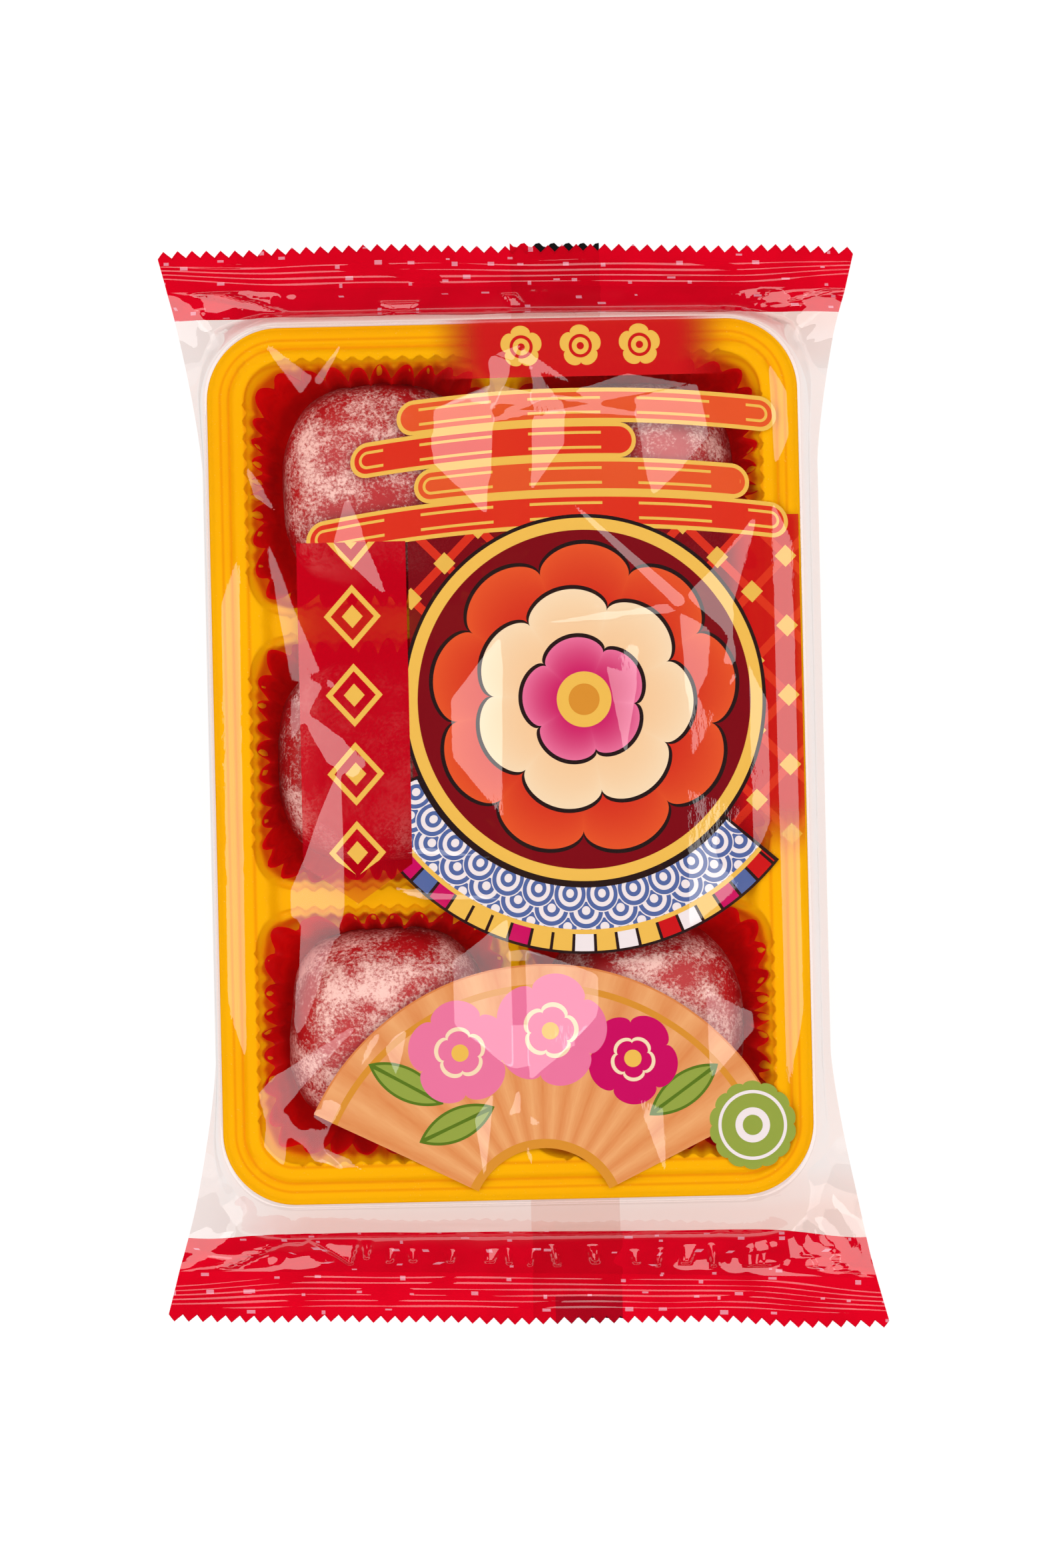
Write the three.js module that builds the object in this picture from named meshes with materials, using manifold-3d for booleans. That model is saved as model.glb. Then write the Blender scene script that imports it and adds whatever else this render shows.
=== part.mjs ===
// A sealed flow-wrapped pack of six red glutinous rice balls, lying on its back as one closed solid.
// A clear film sleeve is drawn tight over a shallow tray with rounded corners. Past the tray's two ends
// it closes into flat crimped seals with a zigzag cut, and a folded fin runs lengthwise under the pack.
// The front is cut down to what shows through the clear film: six wells, each with a pleated cup and the
// rice ball that fills it.
// Millimetres, +Z up from the table, +Y towards the end of the pack that the tray lies nearer to.
import * as THREE from "three";
import { mergeVertices } from "three/addons/utils/BufferGeometryUtils.js";
import Module from "manifold-3d";

// The film sleeve: its cut length, the half width of each seal, and the half width at its waist.
const PACK_LENGTH = 241;
const TOP_SEAL_HALF = 78;
const BOTTOM_SEAL_HALF = 80.8;
const WAIST_HALF = 68.5;
const TOP_FLARE = 50; // how far the sleeve's flare reaches in from the top cut
const BOTTOM_FLARE = 60;
const FLARE_POWER = 1.35;

// The tray that the film is drawn over. Its rim is level, and its base is smaller by the wall's draft.
const TRAY_HALF_WIDTH = 65;
const TRAY_HALF_LENGTH = 96.5;
const TRAY_CORNER = 16;
const TRAY_CENTRE = new THREE.Vector2(-1.4, 5);
const RIM_HEIGHT = 30.4;
const WALL_DRAFT = 4.5;
const FILM_EASE = 0.3; // the film's round-over past the rim

// The wells: two columns of three, each an oblong with rounded corners that narrows towards its floor.
const WELLS_CENTRE = new THREE.Vector2(-1.4, 5.9);
const WELL_PITCH_X = 58.2;
const WELL_PITCH_Y = 60.3;
const WELL_HALF_X = 27.6;
const WELL_HALF_Y = 28;
const WELL_CORNER = 9;
const WELL_FLOOR = 3.2;
const WELL_LEAN = [[4, 0], [2.9, 0.42], [2, 0.82], [0, 1]]; // inset of its wall, and share of its depth
const CORNER_STEPS = 4;

// The cup in each well, pleated at its rim, and the ball that it holds: its outline from its middle out.
// Both fill the well so far that they turn from round towards square. A squareness of 2 is round.
const CUP_PLEATS = 22;
const CUP_FOLD = 1.4;
const CUP_FOOT = 18.6;
const CUP_RIM = 24.4;
const CUP_RIM_HEIGHT = 27.2;
const CUP_RIM_SQUARENESS = 5;
const CUP_GROOVE = 22.6; // where the ball meets the cup's wall
const CUP_GROOVE_HEIGHT = 20;
const CUP_GROOVE_SQUARENESS = 3;
const BALL_TOP = 29.5;
const BALL_OUTLINE = [[6, 29.3], [12, 28.7], [17, 27.1], [20.6, 24.1]];
const BALL_SQUARENESS = 2.4;

// The side creases and the seals, which close a little under half way up the pack.
const SIDE_CREASE_HEIGHT = 17;
const SEAL_HEIGHT = 12;
const CREASE_RISE = 45; // distance from a seal over which the side crease climbs to its full height
const SEAL_THICKNESS = 0.8;
const TOP_CRIMP = 9;
const BOTTOM_CRIMP = 11;
const CRIMP_PITCH = 1.8;
const CRIMP_DEPTH = 0.3;
const TOOTH_PITCH = 3.12;
const TOOTH_DEPTH = 1.5;
const SEAL_LAP = 0.6; // how far each seal reaches into the pillow, so that the two fuse

// The folded back fin, which lies in a shallow channel between the tray's two columns of wells.
const FIN_LEFT = 1;
const FIN_WIDTH = 20;
const FIN_THICKNESS = 0.5;
const CHANNEL_HEIGHT = 1.1;
const CHANNEL_MARGIN = 2;

// How finely the pillow is divided.
const FLAP_COLUMNS = 4;
const MIDDLE_COLUMNS = 14;
const ARC_ROWS = 6;
const RAMP_ROWS = 7;
const MIDDLE_ROW_STEP = 12;

const TOP_CUT = PACK_LENGTH / 2;
const BOTTOM_CUT = -PACK_LENGTH / 2;
const TOP_CRIMP_LINE = TOP_CUT - TOP_CRIMP;
const BOTTOM_CRIMP_LINE = BOTTOM_CUT + BOTTOM_CRIMP;
const COLUMNS = MIDDLE_COLUMNS + 2 * FLAP_COLUMNS;

const lerp = THREE.MathUtils.lerp;
const clamp = THREE.MathUtils.clamp;
const smooth = (value) => THREE.MathUtils.smoothstep(value, 0, 1);

const wasm = await Module();
wasm.setup();

// Half the sleeve's width at a place along it: wide at each seal, easing in to the waist.
function sleeveHalf(y) {
  const flare = (reach, length, seal) =>
    (seal - WAIST_HALF) * clamp(1 - reach / length, 0, 1) ** FLARE_POWER;
  return (
    WAIST_HALF +
    flare(TOP_CUT - y, TOP_FLARE, TOP_SEAL_HALF) +
    flare(y - BOTTOM_CUT, BOTTOM_FLARE, BOTTOM_SEAL_HALF)
  );
}

// Height of the side crease, where the front and back of the sleeve meet.
function creaseHeight(y) {
  const fromSeal = Math.min(TOP_CRIMP_LINE - y, y - BOTTOM_CRIMP_LINE);
  return lerp(SEAL_HEIGHT, SIDE_CREASE_HEIGHT, smooth(clamp(fromSeal / CREASE_RISE, 0, 1)));
}

// Distance from a point to the tray's outline shrunk by inset, negative inside it.
function beyondTray(x, y, inset) {
  const corner = TRAY_CORNER - inset / 2;
  const ax = Math.abs(x - TRAY_CENTRE.x) - (TRAY_HALF_WIDTH - inset - corner);
  const ay = Math.abs(y - TRAY_CENTRE.y) - (TRAY_HALF_LENGTH - inset - corner);
  const outside = Math.hypot(Math.max(ax, 0), Math.max(ay, 0));
  return outside + Math.min(Math.max(ax, ay), 0) - corner;
}

// Share of the way from the tray's outline to the edge of the pillow, for film pulled straight between them.
function wayOut(x, y, inset) {
  const beyond = Math.max(beyondTray(x, y, inset), 0);
  const half = sleeveHalf(y);
  const left = Math.min(half - Math.abs(x), TOP_CRIMP_LINE - y, y - BOTTOM_CRIMP_LINE);
  return beyond === 0 ? 0 : beyond / (beyond + Math.max(left, 0));
}

// Half the thickness of the film's edge: the seals have some, and the side creases none.
function edgeHalf(y) {
  const fromSeal = Math.min(TOP_CRIMP_LINE - y, y - BOTTOM_CRIMP_LINE);
  return (SEAL_THICKNESS / 2) * (1 - clamp(fromSeal, 0, 1));
}

// The middle of each well, from above.
function wellCentres() {
  const columns = [-0.5, 0.5].map((share) => WELLS_CENTRE.x + share * WELL_PITCH_X);
  const rows = [-1, 0, 1].map((share) => WELLS_CENTRE.y + share * WELL_PITCH_Y);
  return columns.flatMap((x) => rows.map((y) => new THREE.Vector2(x, y)));
}

function frontHeight(x, y) {
  const share = wayOut(x, y, -FILM_EASE);
  return lerp(RIM_HEIGHT, creaseHeight(y) + edgeHalf(y), share);
}

// The channel for the fin: full depth across the fin, easing to nothing just beside it.
function channelLift(x) {
  const beside = Math.max(FIN_LEFT - x, x - FIN_LEFT - FIN_WIDTH, 0);
  return CHANNEL_HEIGHT * clamp(2 - beside / CHANNEL_MARGIN, 0, 1);
}

function backHeight(x, y) {
  const share = wayOut(x, y, WALL_DRAFT);
  return lerp(channelLift(x), creaseHeight(y) - edgeHalf(y), share);
}

// The tray outline's half width at a place along it. Past the tray's ends it stays at the corner's start.
function trayHalf(y, inset) {
  const corner = TRAY_CORNER - inset / 2;
  const along = Math.abs(y - TRAY_CENTRE.y) - (TRAY_HALF_LENGTH - inset - corner);
  const arc = Math.sqrt(Math.max(corner ** 2 - Math.max(along, 0) ** 2, 0));
  return TRAY_HALF_WIDTH - inset - corner + arc;
}

// The places across the pillow at one row: a flap each side of the tray, and the stretch over it.
function acrossAt(y, inset) {
  const half = sleeveHalf(y);
  const left = TRAY_CENTRE.x - trayHalf(y, inset);
  const right = TRAY_CENTRE.x + trayHalf(y, inset);
  const places = [];
  for (let k = 0; k < FLAP_COLUMNS; k++) places.push(lerp(-half, left, k / FLAP_COLUMNS));
  for (let k = 0; k < MIDDLE_COLUMNS; k++) places.push(lerp(left, right, k / MIDDLE_COLUMNS));
  for (let k = 0; k <= FLAP_COLUMNS; k++) places.push(lerp(right, half, k / FLAP_COLUMNS));
  return places;
}

// The rows along the pillow, from the bottom crimp line up: close together where the tray's corners turn.
function rowPlaces() {
  const straight = TRAY_HALF_LENGTH - TRAY_CORNER;
  const low = TRAY_CENTRE.y - straight;
  const high = TRAY_CENTRE.y + straight;
  const middle = Math.round((high - low) / MIDDLE_ROW_STEP);
  const places = [];
  for (let k = 0; k < RAMP_ROWS + 1; k++) {
    places.push(lerp(BOTTOM_CRIMP_LINE, low - TRAY_CORNER, k / (RAMP_ROWS + 1)));
  }
  for (let k = ARC_ROWS; k > 0; k--) {
    places.push(low - TRAY_CORNER * Math.sin((k / ARC_ROWS) * (Math.PI / 2)));
  }
  for (let k = 0; k <= middle; k++) places.push(lerp(low, high, k / middle));
  for (let k = 1; k <= ARC_ROWS; k++) {
    places.push(high + TRAY_CORNER * Math.sin((k / ARC_ROWS) * (Math.PI / 2)));
  }
  for (let k = 1; k <= RAMP_ROWS; k++) {
    places.push(lerp(high + TRAY_CORNER, TOP_CRIMP_LINE, k / RAMP_ROWS));
  }
  return places;
}

// A closed mesh from rows of points: each row is a ring, the rings are skinned, and both ends are capped
// by strips between the ring's front half and its back half.
function skinnedRings(rings) {
  const around = rings[0].length;
  const position = rings.flat(2);
  const index = [];
  const at = (ring, k) => ring * around + (k % around);
  for (let r = 0; r + 1 < rings.length; r++) {
    for (let k = 0; k < around; k++) {
      index.push(at(r, k), at(r, k + 1), at(r + 1, k + 1));
      index.push(at(r, k), at(r + 1, k + 1), at(r + 1, k));
    }
  }
  const half = around / 2;
  const last = rings.length - 1;
  for (let k = 0; k < half; k++) {
    const [a, b] = [k, k + 1];
    const [c, d] = [(around - b) % around, (around - a) % around];
    index.push(at(0, b), at(0, a), at(0, c));
    index.push(at(last, a), at(last, b), at(last, c));
    if (d !== a) {
      index.push(at(0, c), at(0, a), at(0, d));
      index.push(at(last, a), at(last, c), at(last, d));
    }
  }
  const geometry = new THREE.BufferGeometry();
  geometry.setAttribute("position", new THREE.Float32BufferAttribute(position, 3));
  geometry.setIndex(index);
  return geometry;
}

// A closed geometry as a solid that can be joined and cut.
function toSolid(geometry) {
  const bare = geometry.clone();
  bare.deleteAttribute("normal");
  bare.deleteAttribute("uv");
  const merged = mergeVertices(bare, 1e-4);
  const solid = new wasm.Manifold(
    new wasm.Mesh({
      numProp: 3,
      vertProperties: new Float32Array(merged.attributes.position.array),
      triVerts: new Uint32Array(merged.index.array),
    }),
  );
  if (solid.volume() <= 0) throw new Error("a piece has its faces turned in");
  return solid;
}

function toGeometry(solid) {
  const mesh = solid.getMesh();
  const geometry = new THREE.BufferGeometry();
  geometry.setAttribute("position", new THREE.BufferAttribute(mesh.vertProperties, 3));
  geometry.setIndex(new THREE.BufferAttribute(mesh.triVerts, 1));
  const flat = geometry.toNonIndexed();
  flat.computeVertexNormals();
  return flat;
}

// The pillow of film over the tray, between the two crimp lines.
function pillow() {
  const rings = rowPlaces().map((y) => {
    const front = acrossAt(y, -FILM_EASE).map((x) => [x, y, frontHeight(x, y)]);
    const back = acrossAt(y, WALL_DRAFT).map((x) => [x, y, backHeight(x, y)]);
    const shared = [0, COLUMNS];
    for (const k of shared) front[k][2] = creaseHeight(y);
    return [...front, ...back.slice(1, COLUMNS).reverse()];
  });
  return toSolid(skinnedRings(rings));
}

// An oblong with rounded corners at one height, point by point anticlockwise from above.
function oblongRing(centre, halfX, halfY, corner, z) {
  const ring = [];
  for (let quarter = 0; quarter < 4; quarter++) {
    const signX = quarter === 0 || quarter === 3 ? 1 : -1;
    const signY = quarter < 2 ? 1 : -1;
    for (let k = 0; k <= CORNER_STEPS; k++) {
      const angle = (quarter + k / CORNER_STEPS) * (Math.PI / 2);
      const x = centre.x + signX * (halfX - corner) + corner * Math.cos(angle);
      const y = centre.y + signY * (halfY - corner) + corner * Math.sin(angle);
      ring.push([x, y, z]);
    }
  }
  return ring;
}

// The room of one well, from its floor to above the film.
function wellRoom(centre) {
  const rings = WELL_LEAN.map(([inset, share]) => {
    const z = lerp(WELL_FLOOR, RIM_HEIGHT, share);
    return oblongRing(centre, WELL_HALF_X - inset, WELL_HALF_Y - inset, WELL_CORNER - inset / 2, z);
  });
  rings.push(oblongRing(centre, WELL_HALF_X, WELL_HALF_Y, WELL_CORNER, 2 * RIM_HEIGHT));
  return toSolid(skinnedRings(rings));
}

// A ring between round and square at one height, pushed out and in by a fold at every other point.
function softRing(centre, radius, z, squareness, fold) {
  const around = 2 * CUP_PLEATS;
  const point = (k) => {
    const angle = (k / around) * 2 * Math.PI;
    const [across, along] = [Math.cos(angle), Math.sin(angle)];
    const sum = Math.abs(across) ** squareness + Math.abs(along) ** squareness;
    const reach = (radius + (k % 2 ? fold : -fold)) * sum ** (-1 / squareness);
    return [centre.x + reach * across, centre.y + reach * along, z];
  };
  return Array.from({ length: around }, (_, k) => point(k));
}

// One cup with its ball: a round foot, a pleated rim, the groove inside it and the ball's dome.
function filledCup(centre) {
  const dome = BALL_OUTLINE.map(([radius, z]) => softRing(centre, radius, z, BALL_SQUARENESS, 0));
  const crown = softRing(centre, BALL_OUTLINE[0][0] / 2, BALL_TOP, BALL_SQUARENESS, 0);
  const foot = softRing(centre, CUP_FOOT, WELL_FLOOR / 2, BALL_SQUARENESS, 0);
  const rim = softRing(centre, CUP_RIM, CUP_RIM_HEIGHT, CUP_RIM_SQUARENESS, CUP_FOLD);
  const groove = softRing(centre, CUP_GROOVE, CUP_GROOVE_HEIGHT, CUP_GROOVE_SQUARENESS, 0);
  return toSolid(skinnedRings([foot, rim, groove, ...dome.reverse(), crown]));
}

// A crimped seal: two films pressed into cross ridges, between its crimp line and its zigzag cut.
// outward is 1 at the top end and -1 at the bottom end.
function crimpedSeal(crimpLine, cut, outward) {
  const inner = crimpLine - outward * SEAL_LAP;
  const ridges = Math.round(Math.abs(cut - crimpLine) / CRIMP_PITCH) * 2;
  const profile = [[inner, 0], [crimpLine, 0]];
  for (let k = 1; k <= ridges; k++) {
    const wave = k === ridges ? 0 : CRIMP_DEPTH * (k % 2 ? 1 : -1);
    profile.push([lerp(crimpLine, cut, k / ridges), wave]);
  }
  const upper = profile.map(([y, z]) => new THREE.Vector2(y, SEAL_HEIGHT + z + SEAL_THICKNESS / 2));
  const lower = profile.map(([y, z]) => new THREE.Vector2(y, SEAL_HEIGHT + z - SEAL_THICKNESS / 2));
  const slab = new THREE.ExtrudeGeometry(new THREE.Shape([...upper, ...lower.reverse()]), {
    depth: PACK_LENGTH,
    bevelEnabled: false,
  });
  slab.applyMatrix4(
    new THREE.Matrix4().makeBasis(
      new THREE.Vector3(0, 1, 0),
      new THREE.Vector3(0, 0, 1),
      new THREE.Vector3(1, 0, 0),
    ),
  );
  slab.translate(-PACK_LENGTH / 2, 0, 0);
  return toSolid(slab);
}

// The seal's outline from above, zigzag at the cut, as a block that the seal is trimmed to.
function sealOutline(crimpLine, cut, outward) {
  const inner = crimpLine - outward * SEAL_LAP;
  const cutHalf = sleeveHalf(cut);
  const teeth = Math.round((2 * cutHalf) / TOOTH_PITCH);
  const outline = [new THREE.Vector2(-sleeveHalf(inner), inner)];
  for (let k = 0; k <= 2 * teeth; k++) {
    const tip = k % 2 ? 0 : TOOTH_DEPTH;
    outline.push(new THREE.Vector2(lerp(-cutHalf, cutHalf, k / (2 * teeth)), cut - outward * tip));
  }
  outline.push(new THREE.Vector2(sleeveHalf(inner), inner));
  const block = new THREE.ExtrudeGeometry(new THREE.Shape(outline), {
    depth: RIM_HEIGHT,
    bevelEnabled: false,
  });
  return toSolid(block);
}

// The folded fin: a flat strip that follows the back of the sleeve and ends in both seals.
function backFin() {
  const lap = FIN_THICKNESS / 2;
  const places = [BOTTOM_CUT, ...rowPlaces(), TOP_CUT];
  const rings = places.map((y) => {
    const inPillow = clamp(y, BOTTOM_CRIMP_LINE, TOP_CRIMP_LINE);
    const corner = (x, below) => [x, y, backHeight(x, inPillow) - below];
    const right = FIN_LEFT + FIN_WIDTH;
    return [
      corner(FIN_LEFT, FIN_THICKNESS),
      corner(FIN_LEFT, -lap),
      corner(right, -lap),
      corner(right, FIN_THICKNESS),
    ];
  });
  return toSolid(skinnedRings(rings));
}

// One end of the pack beyond its crimp line, with the fin's end cut to the same zigzag.
function packEnd(fin, crimpLine, cut, outward) {
  const seal = crimpedSeal(crimpLine, cut, outward);
  return seal.add(fin).intersect(sealOutline(crimpLine, cut, outward));
}

function sealedPack() {
  const fin = backFin();
  const span = new THREE.BoxGeometry(
    PACK_LENGTH,
    TOP_CRIMP_LINE - BOTTOM_CRIMP_LINE,
    2 * RIM_HEIGHT,
  );
  span.translate(0, (TOP_CRIMP_LINE + BOTTOM_CRIMP_LINE) / 2, 0);
  const body = pillow()
    .add(fin.intersect(toSolid(span)))
    .add(packEnd(fin, TOP_CRIMP_LINE, TOP_CUT, 1))
    .add(packEnd(fin, BOTTOM_CRIMP_LINE, BOTTOM_CUT, -1));
  const cutWell = (pack, centre) => pack.subtract(wellRoom(centre).subtract(filledCup(centre)));
  return wellCentres().reduce(cutWell, body);
}

const printedFilm = new THREE.MeshStandardMaterial({
  color: new THREE.Color(0.78, 0.1, 0.06),
  roughness: 0.22,
  metalness: 0,
});

const group = new THREE.Group();
const pack = new THREE.Mesh(toGeometry(sealedPack()), printedFilm);
pack.name = "sealed_pack";
group.add(pack);

export default group;
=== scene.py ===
# A sealed pack of six red glutinous rice balls, lying on its back and seen from straight above.
# A clear printed film sleeve is drawn over a yellow moulded tray. Each of the tray's wells holds a red
# pleated cup, and each cup a dark red rice ball dusted with starch. Shapes are worked out in
# millimetres, in the pack's own frame, and become metres as each mesh is made.
import math
from itertools import product

import bmesh
import bpy
import numpy as np
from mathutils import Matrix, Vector


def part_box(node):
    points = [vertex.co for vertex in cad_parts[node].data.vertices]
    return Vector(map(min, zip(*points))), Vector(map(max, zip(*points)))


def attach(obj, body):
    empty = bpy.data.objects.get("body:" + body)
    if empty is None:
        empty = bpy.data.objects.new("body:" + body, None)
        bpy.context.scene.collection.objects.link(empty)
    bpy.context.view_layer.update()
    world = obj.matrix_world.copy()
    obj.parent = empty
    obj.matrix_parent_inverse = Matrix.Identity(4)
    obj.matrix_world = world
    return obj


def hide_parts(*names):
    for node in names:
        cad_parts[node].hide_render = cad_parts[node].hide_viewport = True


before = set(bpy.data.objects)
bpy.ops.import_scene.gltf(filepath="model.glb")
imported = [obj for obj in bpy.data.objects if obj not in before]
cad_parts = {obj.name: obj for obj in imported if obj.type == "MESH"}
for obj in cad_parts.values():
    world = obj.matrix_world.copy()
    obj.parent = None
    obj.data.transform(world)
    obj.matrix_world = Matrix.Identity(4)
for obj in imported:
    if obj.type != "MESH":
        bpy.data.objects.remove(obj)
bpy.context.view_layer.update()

MM = 0.001
ROOT = "root"
SOLID = "sealed_pack"
FLAT = "flat"  # name of the film's own map
FLAT_UNIT = 100.0  # millimetres for each unit of that map
PACK_LOW, PACK_HIGH = (Vector(corner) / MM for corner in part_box(SOLID))

# The film sleeve, as the solid has it: cut length, seal half widths, waist, and where its ends flare.
PACK_LENGTH = PACK_HIGH.y - PACK_LOW.y
BOTTOM_SEAL_HALF = PACK_HIGH.x
TOP_SEAL_HALF = 78.0
WAIST_HALF = 68.5
TOP_FLARE = 50.0
BOTTOM_FLARE = 60.0
FLARE_POWER = 1.35
TOP_CUT = PACK_LENGTH / 2
BOTTOM_CUT = -PACK_LENGTH / 2
TOP_CRIMP = 9.0
BOTTOM_CRIMP = 11.0
TOP_LINE = TOP_CUT - TOP_CRIMP
BOTTOM_LINE = BOTTOM_CUT + BOTTOM_CRIMP
SEAL_HEIGHT = 12.0
SIDE_CREASE_HEIGHT = 17.0
CREASE_RISE = 45.0
CORNER_CURL = 2.4
FILM_GAP = 0.16  # between the front and back films where they are pressed together

# The tray, and the wells that it is divided into.
TRAY_HALF_X = 65.0
TRAY_HALF_Y = 96.5
TRAY_CORNER = 16.0
TRAY_X = -1.4
TRAY_Y = 5.0
RIM_HEIGHT = 30.4
WALL_DRAFT = 4.5
WELL_HALF_X = 27.6
WELL_HALF_Y = 28.0
WELL_CORNER = 9.0
CELLS_Y = 5.9  # middle of the wells, a little nearer to the top end than the tray's own
CELL_HALF_X = 29.1
CELL_HALF_Y = 30.15
COLUMNS = (-1, 1)
ROWS = (2, 0, -2)

# The folded fin along the back, and the dark sensor mark printed at its cut ends.
FIN_LEFT = 1.0
FIN_WIDTH = 20.0
CHANNEL_HEIGHT = 1.1
CHANNEL_MARGIN = 2.0
MARK_WIDTH = 15.0
SEAL_FLAT = 4.5  # of a seal, from its crimp line to where the sensor mark begins

FILM_HALF = 119.0  # half the film's length between its two seals, measured along it
FRONT_BAND = 13.3  # depth of the red print at each end, along the film from its seal
BACK_BAND = 7.5
FIN_BAND = 5.0


def srgb(red, green, blue):
    """A colour as seen, 0 to 255, as the linear values that a shader takes."""
    def linear(value):
        share = value / 255
        return share / 12.92 if share <= 0.04045 else ((share + 0.055) / 1.055) ** 2.4

    return (linear(red), linear(green), linear(blue), 1.0)


INK_LIGHT = 0.65  # inks lie above the film, so they take more light than what is under it


def ink(red, green, blue):
    """An ink's colour as seen under the studio's light."""
    return tuple(INK_LIGHT * part for part in srgb(red, green, blue)[:3]) + (1.0,)


def smooth(value):
    share = np.clip(value, 0.0, 1.0)
    return share * share * (3 - 2 * share)


def lerp(a, b, share):
    return a + (b - a) * share


def joined(operation, swapped=False):
    """A method that joins a link and another value by a Math node, the other one first where swapped."""
    def method(self, other):
        first, second = (other, self) if swapped else (self, other)
        return self.graph.node("ShaderNodeMath", {"operation": operation}, {0: first, 1: second})

    return method


class Link:
    """An output socket in a node tree. Arithmetic on it adds the Math nodes for it."""

    __add__ = __radd__ = joined("ADD")
    __sub__ = joined("SUBTRACT")
    __rsub__ = joined("SUBTRACT", swapped=True)
    __mul__ = __rmul__ = joined("MULTIPLY")
    __truediv__ = joined("DIVIDE")
    __rtruediv__ = joined("DIVIDE", swapped=True)
    __pow__ = joined("POWER")
    __lt__ = joined("LESS_THAN")
    __gt__ = joined("GREATER_THAN")

    def __init__(self, graph, socket):
        self.graph = graph
        self.socket = socket

    def math(self, operation, *others):
        values = dict(enumerate((self, *others)))
        return self.graph.node("ShaderNodeMath", {"operation": operation}, values)

    def abs(self):
        return self.math("ABSOLUTE")

    def clamp(self):
        return self.math("MINIMUM", 1.0).math("MAXIMUM", 0.0)

    def ramp(self, low, high):
        """0 below low and 1 above high, with a smooth rise between."""
        settings = {"interpolation_type": "SMOOTHSTEP"}
        values = {"Value": self, "From Min": low, "From Max": high}
        return self.graph.node("ShaderNodeMapRange", settings, values)

    def parts(self):
        """The x, y and z of a vector."""
        made = self.graph.node("ShaderNodeSeparateXYZ", {}, {0: self}).socket.node
        return [Link(self.graph, socket) for socket in made.outputs]


class Graph:
    """A node tree being built."""

    def __init__(self, tree):
        self.tree = tree
        tree.nodes.clear()

    def node(self, kind, settings, inputs, output=0):
        """Adds a node: its settings first, then the values or links of its sockets."""
        made = self.tree.nodes.new(kind)
        for name, value in settings.items():
            setattr(made, name, value)
        for name, value in inputs.items():
            if isinstance(value, Link):
                self.tree.links.new(value.socket, made.inputs[name])
            else:
                made.inputs[name].default_value = value
        return Link(self, made.outputs[output]) if made.outputs else None

    def mix(self, share, first, second):
        """A colour between two."""
        return self.node("ShaderNodeMix", {"data_type": "RGBA"}, {0: share, 6: first, 7: second}, 2)

    def shader_mix(self, share, first, second):
        return self.node("ShaderNodeMixShader", {}, {0: share, 1: first, 2: second})

    def vector(self, x, y, z):
        return self.node("ShaderNodeCombineXYZ", {}, {0: x, 1: y, 2: z})

    def noise(self, place, scale, detail=2.0, roughness=0.5, distortion=0.0):
        values = {"Vector": place, "Scale": scale, "Detail": detail, "Roughness": roughness}
        return self.node("ShaderNodeTexNoise", {}, {**values, "Distortion": distortion})

    def chance(self, place):
        """Three random shares for each place, as x, y and z."""
        kind = {"noise_dimensions": "3D"}
        return self.node("ShaderNodeTexWhiteNoise", kind, {"Vector": place}, "Color").parts()

    def bump(self, height, distance):
        return self.node("ShaderNodeBump", {}, {"Height": height, "Distance": distance, "Strength": 1.0})


def new_material(name):
    material = bpy.data.materials.new(name)
    material.use_nodes = True
    return material, Graph(material.node_tree)


def finish_material(graph, shader):
    graph.node("ShaderNodeOutputMaterial", {}, {"Surface": shader})


def object_place(graph):
    """Object coordinates in metres."""
    return graph.node("ShaderNodeTexCoord", {}, {}, "Object")


def flat_place(graph):
    """Where a point of the film lies on the film laid flat: across and along, in millimetres."""
    across, along, _ = graph.node("ShaderNodeUVMap", {"uv_map": FLAT}, {}).parts()
    return across * FLAT_UNIT, along * FLAT_UNIT


def surface(graph, values):
    return graph.node("ShaderNodeBsdfPrincipled", {}, values)


def finish_lit_through(graph, share, values):
    """Ends a material that lets a share of the light through."""
    through = graph.node("ShaderNodeBsdfTranslucent", {}, {"Color": values["Base Color"]})
    finish_material(graph, graph.shader_mix(share, surface(graph, values), through))


def grid_faces(rows, columns, wrap=False):
    """Quads of a grid of points, row by row. Where it wraps, the last column meets the first."""
    across = columns if wrap else columns - 1
    row, column = np.meshgrid(np.arange(rows - 1), np.arange(across), indexing="ij")
    after = (column + 1) % columns
    corners = [row * columns + column, row * columns + after]
    corners += [(row + 1) * columns + after, (row + 1) * columns + column]
    return np.stack(corners, axis=-1).reshape(-1, 4)


def mesh_piece(name, points, faces, material, flat=None):
    """A smooth mesh object at the origin from points in millimetres, with the film's map if given."""
    mesh = bpy.data.meshes.new(name)
    mesh.from_pydata((np.asarray(points) * MM).tolist(), [], np.asarray(faces).tolist())
    mesh.shade_smooth()
    mesh.materials.append(material)
    if flat is not None:
        layer = mesh.uv_layers.new(name=FLAT)
        corner = np.empty(len(mesh.loops), dtype=np.int32)
        mesh.loops.foreach_get("vertex_index", corner)
        layer.data.foreach_set("uv", (np.asarray(flat) / FLAT_UNIT)[corner].astype(np.float32).ravel())
    piece = bpy.data.objects.new(name, mesh)
    bpy.context.scene.collection.objects.link(piece)
    return piece


def place(piece, slot):
    """Every piece rides with the pack's one body and stands for its solid."""
    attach(piece, ROOT)
    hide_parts(SOLID)


def well_centre(column, row):
    return TRAY_X + column * CELL_HALF_X, CELLS_Y + row * CELL_HALF_Y


# The film's form

CURL_REACH = 5  # how far from a seal its ends' curl begins


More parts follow.
